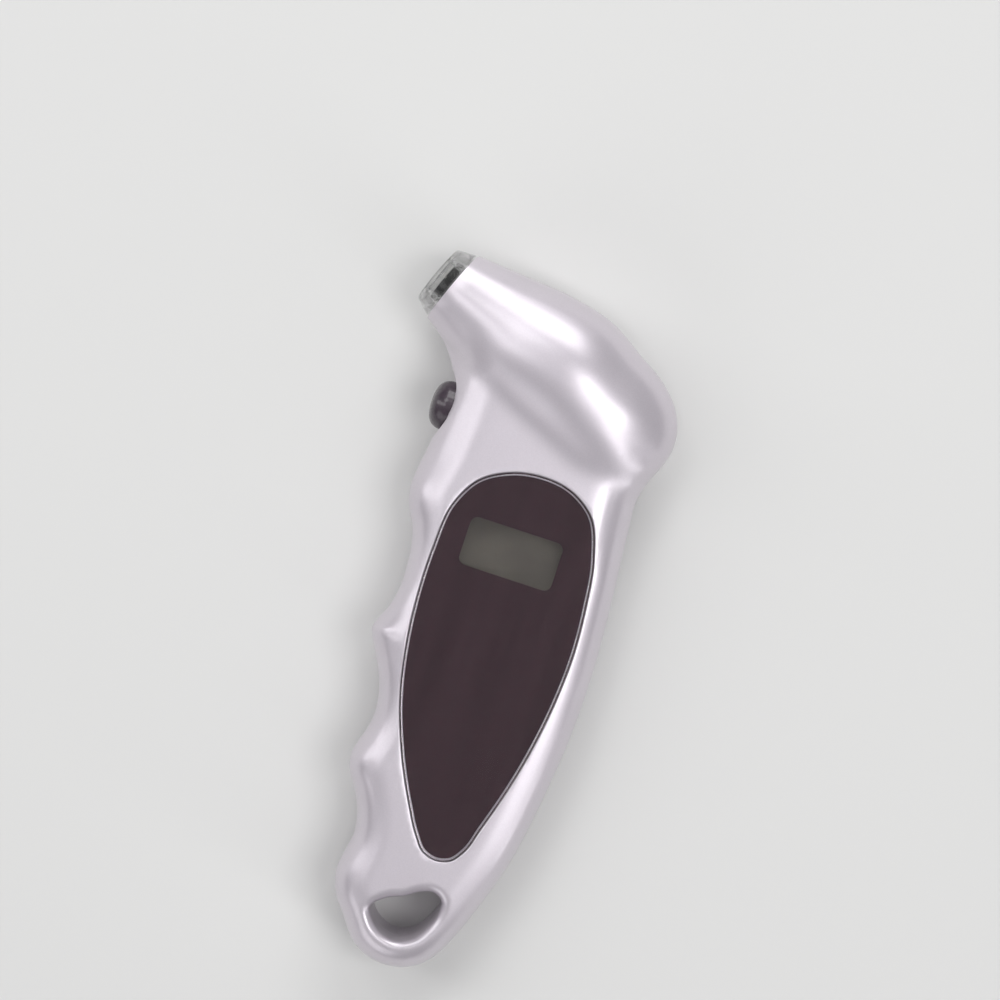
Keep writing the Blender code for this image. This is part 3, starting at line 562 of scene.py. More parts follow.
def points_between(outline, mouth_line, rims, spacing):
    """A triangular grid inside the outline that keeps clear of its edge, of the mouth and of every rim."""
    low, high = outline.min(0), outline.max(0)
    grid = np.mgrid[low[0]:high[0]:spacing, low[1]:high[1]:spacing].reshape(2, -1).T
    grid[:, 1] += spacing / 2 * (np.round((grid[:, 0] - low[0]) / spacing) % 2)
    grid = grid[inside(grid, outline)]
    keep = edge_distance(grid) > EDGE_RADIUS * FILL_EDGE
    keep &= nearest_on(mouth_line, grid) > spacing * FILL_GAP
    for rim in rims:
        keep &= closed_distance(rim.loop, grid) > max(rim.rounding, spacing * FILL_GAP)
    return grid[keep]


def rows_of_skin(outline, mouth_line, rims, inset, step):
    """Points and kept edges for one shell, seen from above. Edges join neighbours within a row."""
    points, edges = [], []

    def add(row, closed, keep=None):
        start = len(points)
        used = [True] * len(row) if keep is None else list(keep)
        number = {}
        for i, (p, wanted) in enumerate(zip(row, used)):
            if wanted:
                number[i] = start + len(number)
                points.append(p)
        for i in range(len(row) if closed else len(row) - 1):
            j = (i + 1) % len(row)
            if i in number and j in number:
                edges.append((number[i], number[j]))

    add(outline, True)
    sides = [even_steps(GRIP_LINE, step), even_steps(PALM_LINE, step)[::-1]]
    for away in turn_rows(EDGE_RADIUS - inset, max(FEWEST_ROWS, int(EDGE_ROWS / step))):
        for line in sides:
            row = moved_right(line, away + inset)
            keep = (edge_distance(row) > (away + inset) * BITE) & inside(row, outline)
            for rim in rims:
                keep &= closed_distance(rim.loop, row) > rim.rounding * CLEAR
                keep &= ~inside(row, rim.loop)
            add(row, False, keep)
    for rim in rims:
        add(rim.loop, True)
        for away in turn_rows(rim.rounding, CRISP_ROWS if rim.rounding < 1 else SOFT_ROWS):
            row = moved_right(rim.loop, away, closed=True)
            add(row, True, inside(row, outline))
    return np.vstack([points, points_between(outline, mouth_line, rims, step * FILL)]), edges


# %% [markdown]
# A shell starts as one closed half of the body: the skin, a flat underside near the joint, and walls round
# the outline and round each hole. An open skin with a Solidify modifier is the usual way to a shell, but
# Booleans need closed meshes, and the room inside has its own studs and ledges. The same helper makes that
# room, from a skin moved in by the wall's thickness.

# %% One half of the body as a closed solid
HALF_JOINT = 0.08      # each shell's rim stays this far from the joint
LEAST_RIM = 0.03       # height of the thin wall that closes a half along its outline
ON_RIM = 1e-5          # a point this near to a loop counts as lying on it


def half_outline(inset, step):
    """The closed outline of a half, moved in by the inset, and the line across its mouth."""
    grip, palm = even_steps(GRIP_LINE, step), even_steps(PALM_LINE, step)
    if inset:
        grip, palm = moved_right(grip, inset), moved_right(palm, -inset)
        grip, palm = (line[edge_distance(line) > inset * BITE] for line in (grip, palm))
    mouth_line = even_steps(np.array([grip[-1], palm[-1]]), step)
    if inset:
        return np.vstack([palm, grip[::-1]]), mouth_line
    return np.vstack([palm, mouth_line[::-1][1:-1], grip[::-1][:-1]]), mouth_line


def solid_part(flat_points, triangles, outline, rims, within):
    """The triangles that lie inside the outline and outside every hole."""
    centres = flat_points[triangles].mean(1)
    wanted = inside(centres, outline)
    if within:
        wanted &= within(centres)
    for rim in rims:
        if rim.floor is None:
            wanted &= ~inside(centres, rim.loop)
    return triangles[wanted]


def rimmed_heights(flat_points, face, rims, flat, inset, foot):
    """Height of the skin at each point, rounded down towards every rim."""
    heights = skin_height(flat_points, face, inset) if inset else soft_height(flat_points, face)
    if flat:
        heights = np.minimum(heights, face - inset)
    for rim in rims:
        heights -= rim.drop(flat_points)
    return np.maximum(heights, foot + LEAST_RIM)


def recess_floors(flat_points, rims):
    """Height of the floor at each point of a recess, by the point's number."""
    floors = {}
    for rim in rims:
        if rim.floor is not None:
            on_rim = closed_distance(rim.loop, flat_points) < ON_RIM
            in_recess = inside(flat_points, rim.loop) | on_rim
            floors.update({int(i): rim.floor for i in np.nonzero(in_recess)[0]})
    return floors


def half_body(name, side, face, rims=(), flat=False, inset=0.0, step=EDGE_STEP, foot=HALF_JOINT, within=None):
    """The skin over the outline, closed by a flat underside at the joint. Inset makes the room inside it."""
    outline, mouth_line = half_outline(inset, step)
    points, edges = rows_of_skin(outline, mouth_line, rims, inset, step)
    flat_points, triangles = triangulate(points, edges)
    triangles = solid_part(flat_points, triangles, outline, rims, within)
    recessed = np.zeros(len(triangles), bool)
    for rim in rims:
        if rim.floor is not None:
            recessed |= inside(flat_points[triangles].mean(1), rim.loop)
    bm = bmesh.new()

    def vertex(i, height):
        x, y = flat_points[i]
        return bm.verts.new((x * MM, y * MM, (PARTING + side * height) * MM))

    heights = rimmed_heights(flat_points, face, rims, flat, inset, foot)
    top = [vertex(i, height) for i, height in enumerate(heights)]
    base = [vertex(i, foot) for i in range(len(flat_points))]
    sunk = {i: vertex(i, height) for i, height in recess_floors(flat_points, rims).items()}
    for corners, low in zip(triangles.tolist(), recessed):
        bm.faces.new([sunk[i] if low else top[i] for i in corners])
        bm.faces.new([base[i] for i in reversed(corners)])
    uses = {}
    for corners, low in zip(triangles.tolist(), recessed):
        for a, b in zip(corners, corners[1:] + corners[:1]):
            uses.setdefault((min(a, b), max(a, b)), []).append(low)
    for (a, b), lows in uses.items():
        if len(lows) == 1:
            bm.faces.new((top[a], top[b], base[b], base[a]))
        elif lows[0] != lows[1]:
            bm.faces.new((top[a], top[b], sunk[b], sunk[a]))
    loose = [v for v in bm.verts if not v.link_faces]
    bmesh.ops.delete(bm, geom=loose, context="VERTS")
    bmesh.ops.recalc_face_normals(bm, faces=bm.faces)
    open_edges = sum(not edge.is_manifold for edge in bm.edges)
    print(name, "has", len(bm.faces), "faces and", open_edges, "open edges")
    return add_mesh(name, bm)


def add_mesh(name, bm):
    """Keeps a bmesh as an object at the origin."""
    mesh = bpy.data.meshes.new(name)
    bm.to_mesh(mesh)
    bm.free()
    made = bpy.data.objects.new(name, mesh)
    bpy.context.scene.collection.objects.link(made)
    return made


# %% [markdown]
# ## Cutting tools for the shells
# Screw holes, the button's scoop and bore, the nozzle's socket, the battery bay and its door opening cross
# the skin or lie behind it, so they are cut. Each cutter is a turned profile, a block or a plate. Blender's
# manifold Boolean is quick on dense closed meshes such as these.

# %% Turned shapes, blocks and plates
def axis_frame(at, toward):
    """A matrix, in metres, whose Z axis points along toward from a point in millimetres."""
    turn = Vector(toward).to_track_quat("Z", "Y").to_matrix().to_4x4()
    return Matrix.Translation(Vector(at) * MM) @ turn


ON_AXIS = 1e-6    # a smaller radius is a point on the axis


def turned(name, profile, place, sides):
    """A lathe shape about the place's Z axis, closed at the axis or, if it never reaches it, a ring."""
    bm = bmesh.new()
    rings = []
    for radius, height in profile:
        if radius < ON_AXIS:
            rings.append([bm.verts.new((0, 0, height * MM))])
            continue
        rings.append([
            bm.verts.new((
                radius * MM * math.cos(2 * math.pi * i / sides),
                radius * MM * math.sin(2 * math.pi * i / sides), height * MM,
            ))
            for i in range(sides)
        ])
    pairs = list(zip(rings, rings[1:]))
    if profile[0][0] > ON_AXIS and profile[-1][0] > ON_AXIS:
        pairs.append((rings[-1], rings[0]))
    for first, second in pairs:
        for i in range(sides):
            j = (i + 1) % sides
            corners = [first[k % len(first)] for k in (i, j)]
            corners += [second[k % len(second)] for k in (j, i)]
            corners = [v for k, v in enumerate(corners) if v not in corners[:k]]
            if len(corners) > 2:
                bm.faces.new(corners)
    bmesh.ops.recalc_face_normals(bm, faces=bm.faces)
    bmesh.ops.transform(bm, matrix=place, verts=bm.verts)
    return add_mesh(name, bm)


CORNER_POINTS = 5     # points on each rounded corner of a profile
CORNER_SHARE = 0.49   # a rounding takes less than half of either neighbouring side


def rounded_profile(points, radius):
    """Rounds a lathe profile's inner corners. A point is (radius, height) or (radius, height, rounding)."""
    made = []
    for i, point in enumerate(points):
        here = np.array(point[:2], float)
        size = point[2] if len(point) > 2 else (radius if 0 < i < len(points) - 1 else 0)
        if not size:
            made.append(tuple(here))
            continue
        before = np.array(points[i - 1][:2], float) - here
        after = np.array(points[(i + 1) % len(points)][:2], float) - here
        size = min(size, np.linalg.norm(before) * CORNER_SHARE, np.linalg.norm(after) * CORNER_SHARE)
        start = here + before / np.linalg.norm(before) * size
        end = here + after / np.linalg.norm(after) * size
        for t in np.linspace(0, 1, CORNER_POINTS):
            made.append(tuple((1 - t) ** 2 * start + 2 * t * (1 - t) * here + t * t * end))
    return made


def block(name, low, high, bevel=0.0):
    """A box between two corners in millimetres, with its edges rounded if a bevel is given."""
    bm = bmesh.new()
    bmesh.ops.create_cube(bm, size=1.0)
    size = [(b - a) * MM for a, b in zip(low, high)]
    bmesh.ops.scale(bm, vec=size, verts=bm.verts)
    bmesh.ops.translate(bm, vec=[(a + b) / 2 * MM for a, b in zip(low, high)], verts=bm.verts)
    if bevel:
        bmesh.ops.bevel(
            bm, geom=bm.edges[:], offset=bevel * MM, segments=2, profile=0.5, affect="EDGES",
        )
    return add_mesh(name, bm)


def stacked(name, loop, levels):
    """A closed solid through copies of one outline: each level is (how far it is moved out, its height)."""
    bm = bmesh.new()
    rings = []
    for grow, height in levels:
        ring = moved_right(loop, grow, closed=True) if grow else loop
        rings.append([bm.verts.new((x * MM, y * MM, height * MM)) for x, y in ring])
    for low, high in zip(rings, rings[1:]):
        for i, a in enumerate(low):
            bm.faces.new((a, low[i - 1], high[i - 1], high[i]))
    bm.faces.new(rings[0])
    bm.faces.new(rings[-1])
    bmesh.ops.recalc_face_normals(bm, faces=bm.faces)
    return add_mesh(name, bm)


def combine(piece, operation, others):
    """Joins or cuts the piece, which stays a plain mesh. The other shapes are then removed."""
    for other in others:
        step = piece.modifiers.new("combine", "BOOLEAN")
        step.operation, step.solver, step.object = operation, "MANIFOLD", other
        before = len(piece.data.vertices)
        settle(piece)
        if len(piece.data.vertices) == before:
            print("no change to", piece.name, "by", other.name)
        bpy.data.objects.remove(other)
    return piece


def cut(piece, *cutters):
    return combine(piece, "DIFFERENCE", cutters)


def join(piece, *others):
    return combine(piece, "UNION", others)


def settle(piece):
    """Applies every modifier, so that the object is a plain mesh at the origin."""
    graph = bpy.context.evaluated_depsgraph_get()
    mesh = bpy.data.meshes.new_from_object(piece.evaluated_get(graph))
    piece.modifiers.clear()
    old = piece.data
    piece.data = mesh
    bpy.data.meshes.remove(old)
    return piece


def shade(piece, material, angle=32.0):
    """Smooth shading that keeps true edges crisp, and the piece's one material."""
    piece.data.shade_smooth()
    piece.data.set_sharp_from_angle(angle=math.radians(angle))
    piece.data.materials.clear()
    piece.data.materials.append(material)
    return piece


def fit_to(piece, body, slot, *nodes):
    """The piece rides on a body and stands for these CAD nodes, which it hides. The slot is not used."""
    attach(piece, body)
    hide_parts(*nodes)
    print(piece.name, "has", len(piece.data.polygons), "faces and stands for", ", ".join(nodes))
    return piece


# %% [markdown]
# The lens fills a long pear-shaped recess in the front, and the tail has a hole to hang the gauge from. Both
# are closed curves through knots. The recess is the lens's own outline moved out by a hairline gap, so lens
# and recess always fit. Points at even steps keep the rims that follow them smooth.

# %% Where the openings are
LENS_OUTLINE = [
    (5.7, 32.4), (-0.2, 31.2), (-5.8, 27.8), (-9.1, 22.0), (-10.2, 12.0), (-10.1, 0.5), (-9.0, -9.5),
    (-6.9, -19.2), (-3.3, -29.0), (1.4, -38.5), (4.7, -44.0), (6.9, -46.6), (9.7, -47.5),
    (12.5, -46.8), (14.6, -44.2), (16.4, -38.8), (19.4, -28.5), (21.5, -18.5), (22.8, -8.5),
    (23.2, 0.5), (22.6, 10.0), (21.1, 20.0), (17.6, 28.2), (12.3, 31.6),
]
HANG_HOLE = [
    (0.2, -60.9), (2.5, -58.3), (6.2, -56.6), (9.0, -54.8), (11.8, -54.2), (13.6, -55.4),
    (13.8, -58.0), (12.6, -61.3), (10.4, -64.3), (7.2, -65.8), (3.9, -65.2), (1.4, -63.3),
]
LENS_GAP = 0.26
RECESS_DEPTH = 1.8
HANG_RIM = 1.9        # rounding of the hang hole's rim
LOOP_POINTS = 12
LENS_STEP, HANG_STEP = 0.5, 0.35
LENS_LOOP = even_steps(smooth_path(LENS_OUTLINE, LOOP_POINTS, closed=True), LENS_STEP, closed=True)
RECESS_LOOP = even_steps(moved_right(LENS_LOOP, LENS_GAP, closed=True), LENS_STEP, closed=True)
HANG_LOOP = even_steps(smooth_path(HANG_HOLE, LOOP_POINTS, closed=True), HANG_STEP, closed=True)
print("lens in mm:", np.round(np.ptp(LENS_LOOP, axis=0), 1))
print("hang hole in mm:", np.round(np.ptp(HANG_LOOP, axis=0), 1))

# %% [markdown]
# Nozzle and button are round and look different ways, so each has an axis frame: a matrix that carries a
# lathe shape from the origin to its place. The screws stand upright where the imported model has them. Turning
# finished objects by hand would do as well, but the pieces must keep their origins at zero.

# %% Axes of the nozzle, the button and the screws
OUT_OF_MOUTH = (-HEAD_WAY[0], -HEAD_WAY[1], 0)
NOZZLE = axis_frame((*MOUTH, PARTING), OUT_OF_MOUTH)
BUTTON_AT = (-17.3, (lowest("power_button")[1] + highest("power_button")[1]) / 2)
BUTTON = axis_frame((*BUTTON_AT, PARTING), (-1, 0, 0))


def upright(at):
    """An axis frame that stands on the floor."""
    return axis_frame((*at, 0.0), (0, 0, 1))


def centre_of(node):
    """The middle of a CAD node's box, seen from above."""
    return (lowest(node) + highest(node))[:2] / 2


CASE_SCREWS = [tuple(centre_of(f"case_screw_{n}")) for n in range(1, 6)]
BOARD_SCREWS = [tuple(centre_of(f"board_screw_{n}")) for n in range(1, 4)]
print("case screws at", [(round(x, 1), round(y, 1)) for x, y in CASE_SCREWS])

# %% [markdown]
# ## The two shells
# Each shell is the skin less the room inside it. Studs, walls and ledges are left standing by first taking
# them out of that room, which is how a moulder thinks of it: the room is the mould's core.

# %% Rooms inside the shells
ROOM_TAIL = -52.0      # the tail is solid below this, round the hang hole
ROOM_HEAD = 7.5        # the room starts this far behind the mouth
ROOM_SIDE = 45.0       # but only above this, so that the grip side isn't shortened
ROOM_STEP = 1.6
ROOM_FOOT = -0.6       # it reaches past the joint, so that no skin is left across it


def room_inside(name, side, face, flat, kept):
    """The hollow of one shell, less what is to stay standing in it."""
    def within(centres):
        along = (centres - np.array(MOUTH)) @ HEAD_WAY
        behind_mouth = (along > ROOM_HEAD) | (centres[:, 1] < ROOM_SIDE)
        return (centres[:, 1] > ROOM_TAIL) & behind_mouth

    room = half_body(name, side, face, flat=flat, inset=WALL, step=ROOM_STEP, foot=ROOM_FOOT, within=within)
    return cut(room, *kept)


def shell_cutters(side):
    """What both shells lose: the button's scoop and bore, and the nozzle's socket."""
    scoop = [(0, 6), (11.5, 6), (9.0, 2.6), (7.6, 0.9), (6.6, -0.35), (6.05, -1.05), (5.75, -1.4), (0, -1.4)]
    bore = [(0, 1), (5.42, 1), (5.42, -3.7), (6.5, -3.7), (6.5, -7.4), (0, -7.4)]
    socket = [(0, 3), (7.15, 3), (6.85, -0.3), (6.85, -9.5), (4.8, -9.5), (4.8, -21), (0, -21)]
    return [
        turned(f"scoop {side}", rounded_profile(scoop, 0.6), BUTTON, 96),
        turned(f"bore {side}", bore, BUTTON, 96),
        turned(f"socket {side}", socket, NOZZLE, 96),
    ]


def button_wall():
    """The thick place round the button's bore."""
    return turned("button wall", [(0, 4), (7.6, 4), (7.6, -3.7), (0, -3.7)], BUTTON, 32)


# %% [markdown]
# The front shell carries the lens in its recess, and under that a ledge with a port for the display. Studs
# with pilot holes take the case screws. The recess and the hang hole are already in the skin's own rows; only
# what has a plain shape is cut afterwards, which keeps the soft rims free of ragged Boolean edges.

# %% Front shell
FRONT_TOP = PARTING + FRONT_FACE
STUDS = [
    turned("stud", [(0, 30), (2.8, 30), (2.8, 8), (0, 8)], upright(spot), 24) for spot in CASE_SCREWS
]
LEDGE_WALL = 1.0      # the ledge under the lens reaches this far past the recess
LEDGE_DEPTH = 3.6
LEDGE_LEVELS = [(LEDGE_WALL, FRONT_TOP - LEDGE_DEPTH), (LEDGE_WALL, FRONT_TOP + 9)]
LEDGE = stacked("ledge", RECESS_LOOP[::2], LEDGE_LEVELS)
FRONT_ROOM = room_inside("front room", 1, FRONT_FACE, False, [LEDGE, button_wall(), *STUDS])
RECESS = Rim(RECESS_LOOP, LINE_ROUND, floor=FRONT_FACE - RECESS_DEPTH)
HANG = Rim(HANG_LOOP, HANG_RIM)
FRONT = half_body("front_shell_skin", 1, FRONT_FACE, rims=[RECESS, HANG])
PILOTS = [
    turned("pilot", [(0, 18.3), (1.3, 18.3), (1.3, 8), (0, 8)], upright(spot), 24) for spot in CASE_SCREWS
]
PORT = block("display port", (-5.6, 10.2, 12), (15.6, 21.5, FRONT_TOP - 0.5))
cut(FRONT, FRONT_ROOM, *shell_cutters("front"), PORT, *PILOTS)
shade(FRONT, SILVER)
fit_to(FRONT, "gauge", "silver_shell", "front_shell")

# %% [markdown]
# The rear shell lies in the palm. Its back is flat, so that the gauge can lie on a bench; a door closes the
# cells' bay in it, a nail notch helps to open that door, and five wells let the case screws sink in. The bay
# is a block left standing in the room and hollowed again, which gives it walls of even thickness.

# %% Rear shell
BAY_LOW, BAY_HIGH = (1.9, -38.0), (14.1, -14.0)
BAY_WALL = 2.4
BAY_TOP = 12.4
REAR_STUDS = [
    turned("stud", [(0, 15), (3.3, 15), (3.3, -5), (0, -5)], upright(spot), 24) for spot in CASE_SCREWS
]
BOARD_POSTS = [
    turned("post", [(0, 8.8), (2.3, 8.8), (2.3, -5), (0, -5)], upright(spot), 24) for spot in BOARD_SCREWS
]
BAY_BLOCK = block(
    "bay block", (BAY_LOW[0] - BAY_WALL, BAY_LOW[1] - BAY_WALL, -5),
    (BAY_HIGH[0] + BAY_WALL, BAY_HIGH[1] + BAY_WALL, BAY_TOP),
)
REAR_KEPT = [button_wall(), BAY_BLOCK, *REAR_STUDS, *BOARD_POSTS]
REAR_ROOM = room_inside("rear room", -1, BACK_FACE, True, REAR_KEPT)
HINGE = np.array([8.0, -38.9, 1.25])   # a point on the door's hinge line, which runs along X
QUARTER_POINTS = 6


def rounded_rectangle(low, high, radius):
    """A closed loop, anticlockwise."""
    centre = (np.array(low) + np.array(high)) / 2
    half = (np.array(high) - np.array(low)) / 2 - radius
    loop = []
    for quarter, (sx, sy) in enumerate([(1, 1), (-1, 1), (-1, -1), (1, -1)]):
        for turn in np.linspace(0, math.pi / 2, QUARTER_POINTS):
            angle = math.pi / 2 * quarter + turn
            loop.append(centre + half * (sx, sy) + radius * np.array([math.cos(angle), math.sin(angle)]))
    return np.array(loop)


DOOR_OPENING = rounded_rectangle((0.2, -40.1), (15.8, -12.9), 0.9)
REAR = half_body("rear_shell_skin", -1, BACK_FACE, rims=[Rim(HANG_LOOP, HANG_RIM)], flat=True)
DOOR_CUT = stacked("door opening", DOOR_OPENING, [(0.6, -1.0), (0.28, 0.0), (0.0, 0.25), (0.0, 2.3)])
HINGE_HOLES = turned(
    "hinge holes", [(0, 9), (0.85, 9), (0.85, -9), (0, -9)], axis_frame(HINGE, (1, 0, 0)), 24,
)
NOTCH = turned(
    "nail notch", rounded_profile([(0, 3), (4.6, 3), (3.6, -0.2), (2.2, -1.0), (0, -1.1)], 0.5),
    axis_frame((8.0, -12.6, 0.0), (0, 0, -1)), 48,
)
SCREW_WELLS = [
    turned("well", [(0, 6), (2.4, 6), (2.4, 0.3), (2.8, -0.1), (4.4, -5), (0, -5)], upright(spot), 48)
    for spot in CASE_SCREWS
]
SCREW_HOLES = [
    turned("hole", [(0, 16), (1.3, 16), (1.3, 4), (0, 4)], upright(spot), 24) for spot in CASE_SCREWS
]
POST_PILOTS = [
    turned("pilot", [(0, 14), (1.15, 14), (1.15, 3.4), (0, 3.4)], upright(spot), 24) for spot in BOARD_SCREWS
]
BAY = block("battery bay", (*BAY_LOW, 1.0), (*BAY_HIGH, 20))
cut(REAR, REAR_ROOM, *shell_cutters("rear"), BAY, DOOR_CUT, HINGE_HOLES, NOTCH)
cut(REAR, *SCREW_WELLS, *SCREW_HOLES, *POST_PILOTS)
shade(REAR, SILVER)
fit_to(REAR, "gauge", "silver_shell", "rear_shell")

# %% [markdown]
# ## The display lens and the film behind it
# The lens is a thick clear acrylic plate, and behind it lies a film printed plum-brown. Clear plastic needs
# transmission and a true refractive index, and a very fine grain keeps it from looking like empty air. The
# film is matt: all the gloss that is seen belongs to the lens in front of it.

# %% Clear and dark finishes
def clear_finish(name, tint, roughness, ior, grain=0.4, depth=0.002, veil=1.0):
    """See-through plastic. A veil under 1 lets that much less of it bend or block the light."""
    made, shader, nodes, links = new_finish(name, tint, roughness, ior=ior, transmission=1.0)
    shader.inputs["Alpha"].default_value = veil
    noise = noise_node(nodes, links, grain, detail=2.0)
    links.new(
        range_node(nodes, links, noise.outputs["Fac"], roughness * 0.6, roughness * 1.4),
        shader.inputs["Roughness"],
    )
    add_bump(nodes, links, shader, noise.outputs["Fac"], depth)
    return made


ACRYLIC = clear_finish("clear acrylic", (0.97, 0.96, 0.97), 0.05, 1.49)
POLYCARBONATE = clear_finish(
    "clear polycarbonate", (0.97, 0.98, 0.96), 0.08, 1.45, grain=0.8, depth=0.01, veil=0.45,
)


def printed_film():
    """Plum-brown ink with faint long streaks along the handle."""
    pale, deep = (0.078, 0.041, 0.051), (0.062, 0.032, 0.040)
    made, shader, nodes, links = new_finish("plum-brown printed film", pale, 0.6)
    shader.inputs["Specular IOR Level"].default_value = 0.2
    streaks = noise_node(nodes, links, 0.35, detail=4.0, stretch=(1, 0.06, 1))
    tone = range_node(nodes, links, streaks.outputs["Fac"], 0, 1)
    links.new(mix_colours(nodes, links, tone, pale, deep), shader.inputs["Base Color"])
    return made


FILM_INK = printed_film()

# %% [markdown]
# Lens, film and line share one outline, each stacked from its own levels. The film reaches a little way
# under the gap round the lens, where its dark ink paints the gap's shade, and has a clear window for the
# display. A thin silver ring on the film just inside the lens's edge is a painted highlight for the glint
# of the lens's edge; it is a ring of its own, so that it can shine. A line painted by a texture would need
# the outline a second time.

# %% Lens, film and painted glint line
LENS_LOW, LENS_HIGH = lowest("display_lens")[2], highest("display_lens")[2]
BEVEL_POINTS = 6
LENS_BEVEL = [
    (-LINE_ROUND * (1 - math.sin(a)), LENS_HIGH - LINE_ROUND * (1 - math.cos(a)))
    for a in np.linspace(math.pi / 2, 0, BEVEL_POINTS)
]
LENS_BEVEL.append((-2 * LINE_ROUND, LENS_HIGH))
LENS = stacked("lens_plate", LENS_LOOP, [(-0.1, LENS_LOW), (0.0, LENS_LOW + 0.1), *LENS_BEVEL])
shade(LENS, ACRYLIC, 40)
fit_to(LENS, "gauge", "clear_lens", "display_lens")

FILM_TOP = highest("lens_film")[2]
FILM_LOW = lowest("lens_film")[2]
# The film's dark edge under the gap round the lens is painted shade for that gap.
FILM_SHADE_EDGE = 0.18      # how far the film reaches past the lens
WINDOW_LOW = (-4.8, 10.8)
WINDOW_HIGH = (14.8, 20.9)
FILM = stacked("film", LENS_LOOP, [(FILM_SHADE_EDGE, FILM_LOW), (FILM_SHADE_EDGE, FILM_TOP)])
cut(FILM, stacked(
    "window", rounded_rectangle(WINDOW_LOW, WINDOW_HIGH, 1.5), [(0, FILM_LOW - 1), (0, FILM_TOP + 1)],
))
shade(FILM, FILM_INK)
fit_to(FILM, "gauge", "dark_film", "lens_film")

# A silver ring on the film is a painted highlight: it stands for the glint on the lens's edge.
GLINT_OUTER, GLINT_INNER = -0.13, -0.4     # the silver line's edges, from the lens's outline
GLINT_FOOT, GLINT_TOP = FILM_TOP + 0.005, FILM_TOP + 0.05
GLINT_RING = stacked("film_pinstripe", LENS_LOOP, [(GLINT_OUTER, GLINT_FOOT), (GLINT_OUTER, GLINT_TOP)])
cut(GLINT_RING, stacked("inner edge", LENS_LOOP, [(GLINT_INNER, FILM_TOP - 1), (GLINT_INNER, FILM_TOP + 1)]))
shade(GLINT_RING, SILVER)
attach(GLINT_RING, "gauge")
print("glint_ring has", len(GLINT_RING.data.polygons), "faces")

# %% [markdown]
# ## The display glass
# A liquid-crystal glass is a sandwich: a lower pane that carries the contacts, a shorter upper pane, and a
# polariser sheet on each. When it is off it is an even grey-green. The sandwich is modelled as those four
# sheets, joined into one piece because they never come apart.

# %% Glass sandwich
def display_green():
    pale, deep = (0.235, 0.216, 0.178), (0.180, 0.166, 0.138)
    made, shader, nodes, links = new_finish("grey-green display glass", pale, 0.22, coat=(0.6, 0.05))
    cloud = noise_node(nodes, links, 0.08, detail=2.0)
    tone = range_node(nodes, links, cloud.outputs["Fac"], 0, 1)
    links.new(mix_colours(nodes, links, tone, pale, deep), shader.inputs["Base Color"])
    return made


POLARISER = 0.2       # thickness of each polariser sheet
MARGIN = 0.4          # how much smaller it is than its pane, on each side
LEDGE_WIDTH = 1.8     # the lower pane's strip of contacts
SHEET_GAP = 0.01


def glass_sandwich():
    low, high = lowest("lcd_glass"), highest("lcd_glass")
    pane = (high[2] - low[2] - 2 * POLARISER) / 2
    heights = np.cumsum([low[2], POLARISER, pane, pane, POLARISER])
    sheets = [(MARGIN, MARGIN), (0, 0), (0, LEDGE_WIDTH), (MARGIN, LEDGE_WIDTH + MARGIN)]
    bm = bmesh.new()
    for number, (margin, near) in enumerate(sheets):
        part = block(
            "sheet", (low[0] + margin, low[1] + near, heights[number] + SHEET_GAP * number),
            (high[0] - margin, high[1] - margin, heights[number + 1]), bevel=0.04,
        )
        bm.from_mesh(part.data)
        bpy.data.objects.remove(part)
    return add_mesh("display_sandwich", bm)


SANDWICH = shade(glass_sandwich(), display_green(), angle=10)
fit_to(SANDWICH, "gauge", "display_glass", "lcd_glass")

# %% [markdown]
# ## The nozzle
# The clear ring at the nozzle's mouth is a turned polycarbonate collar. A black rubber cup sits inside it and
# shows through as a dark band; a brass pin in the middle opens the valve. All three could be cylinders with
# bevels, but a lathe profile holds every step, lip and rounded corner of a turned piece in one short list.

# %% Ring, rubber cup and pin
RING_PROFILE = [
    (5.05, 4.2), (6.3, 4.2, 0.45), (6.75, 3.3, 0.5), (7.95, 0.28, 0.25), (6.6, 0.28, 0.1), (6.6, -5.0, 0.2),
    (4.9, -5.0, 0.2), (4.9, 3.6, 0.5),
]
RING = turned("nozzle_collar", rounded_profile(RING_PROFILE, 0.2), NOZZLE, 120)
shade(RING, POLYCARBONATE, 45)
fit_to(RING, "gauge", "clear_ring", "nozzle_ring")

SEAL_PROFILE = [
    (4.15, 2.0, 0.1), (4.3, 2.3, 0.1), (4.6, 2.3, 0.1), (4.6, 0.9, 0.1), (4.45, 0.7, 0.1), (4.6, 0.5, 0.1),
    (4.6, -4.7, 0.3), (1.6, -4.7, 0.1), (1.6, -1.7, 0.3), (2.6, -1.5, 0.2), (4.15, -1.9, 0.4),
]
BLACK_RUBBER = grained("black rubber", (0.028, 0.026, 0.027), (0.014, 0.013, 0.014), 0.55, 3.0, 0.02)
SEAL = shade(turned("valve_cup", rounded_profile(SEAL_PROFILE, 0.1), NOZZLE, 96), BLACK_RUBBER, 40)
fit_to(SEAL, "gauge", "black_rubber", "valve_seal")

BRASS = grained("turned brass", (0.78, 0.56, 0.24), (0.60, 0.40, 0.15), 0.26, 5.0, 0.004, metallic=1.0)
PIN_PROFILE = [
    (0, 0.4), (0.55, 0.35, 0.1), (0.9, -0.3, 0.2), (0.9, -5.4, 0.05), (2.5, -5.4), (2.5, -6.6), (0, -6.6),
]
PIN = shade(turned("opening_pin", rounded_profile(PIN_PROFILE, 0.1), NOZZLE, 48), BRASS, 40)
fit_to(PIN, "gauge", "brass", "depressor_pin")

# %% [markdown]
# ## The power button
# A soft dome of plum-black rubber, pushed straight in along its axis. A flange behind the wall keeps it from
# falling out, and a stem reaches the switch. Everything about it is round, so one lathe profile makes it; a
# scaled sphere would give the dome only.

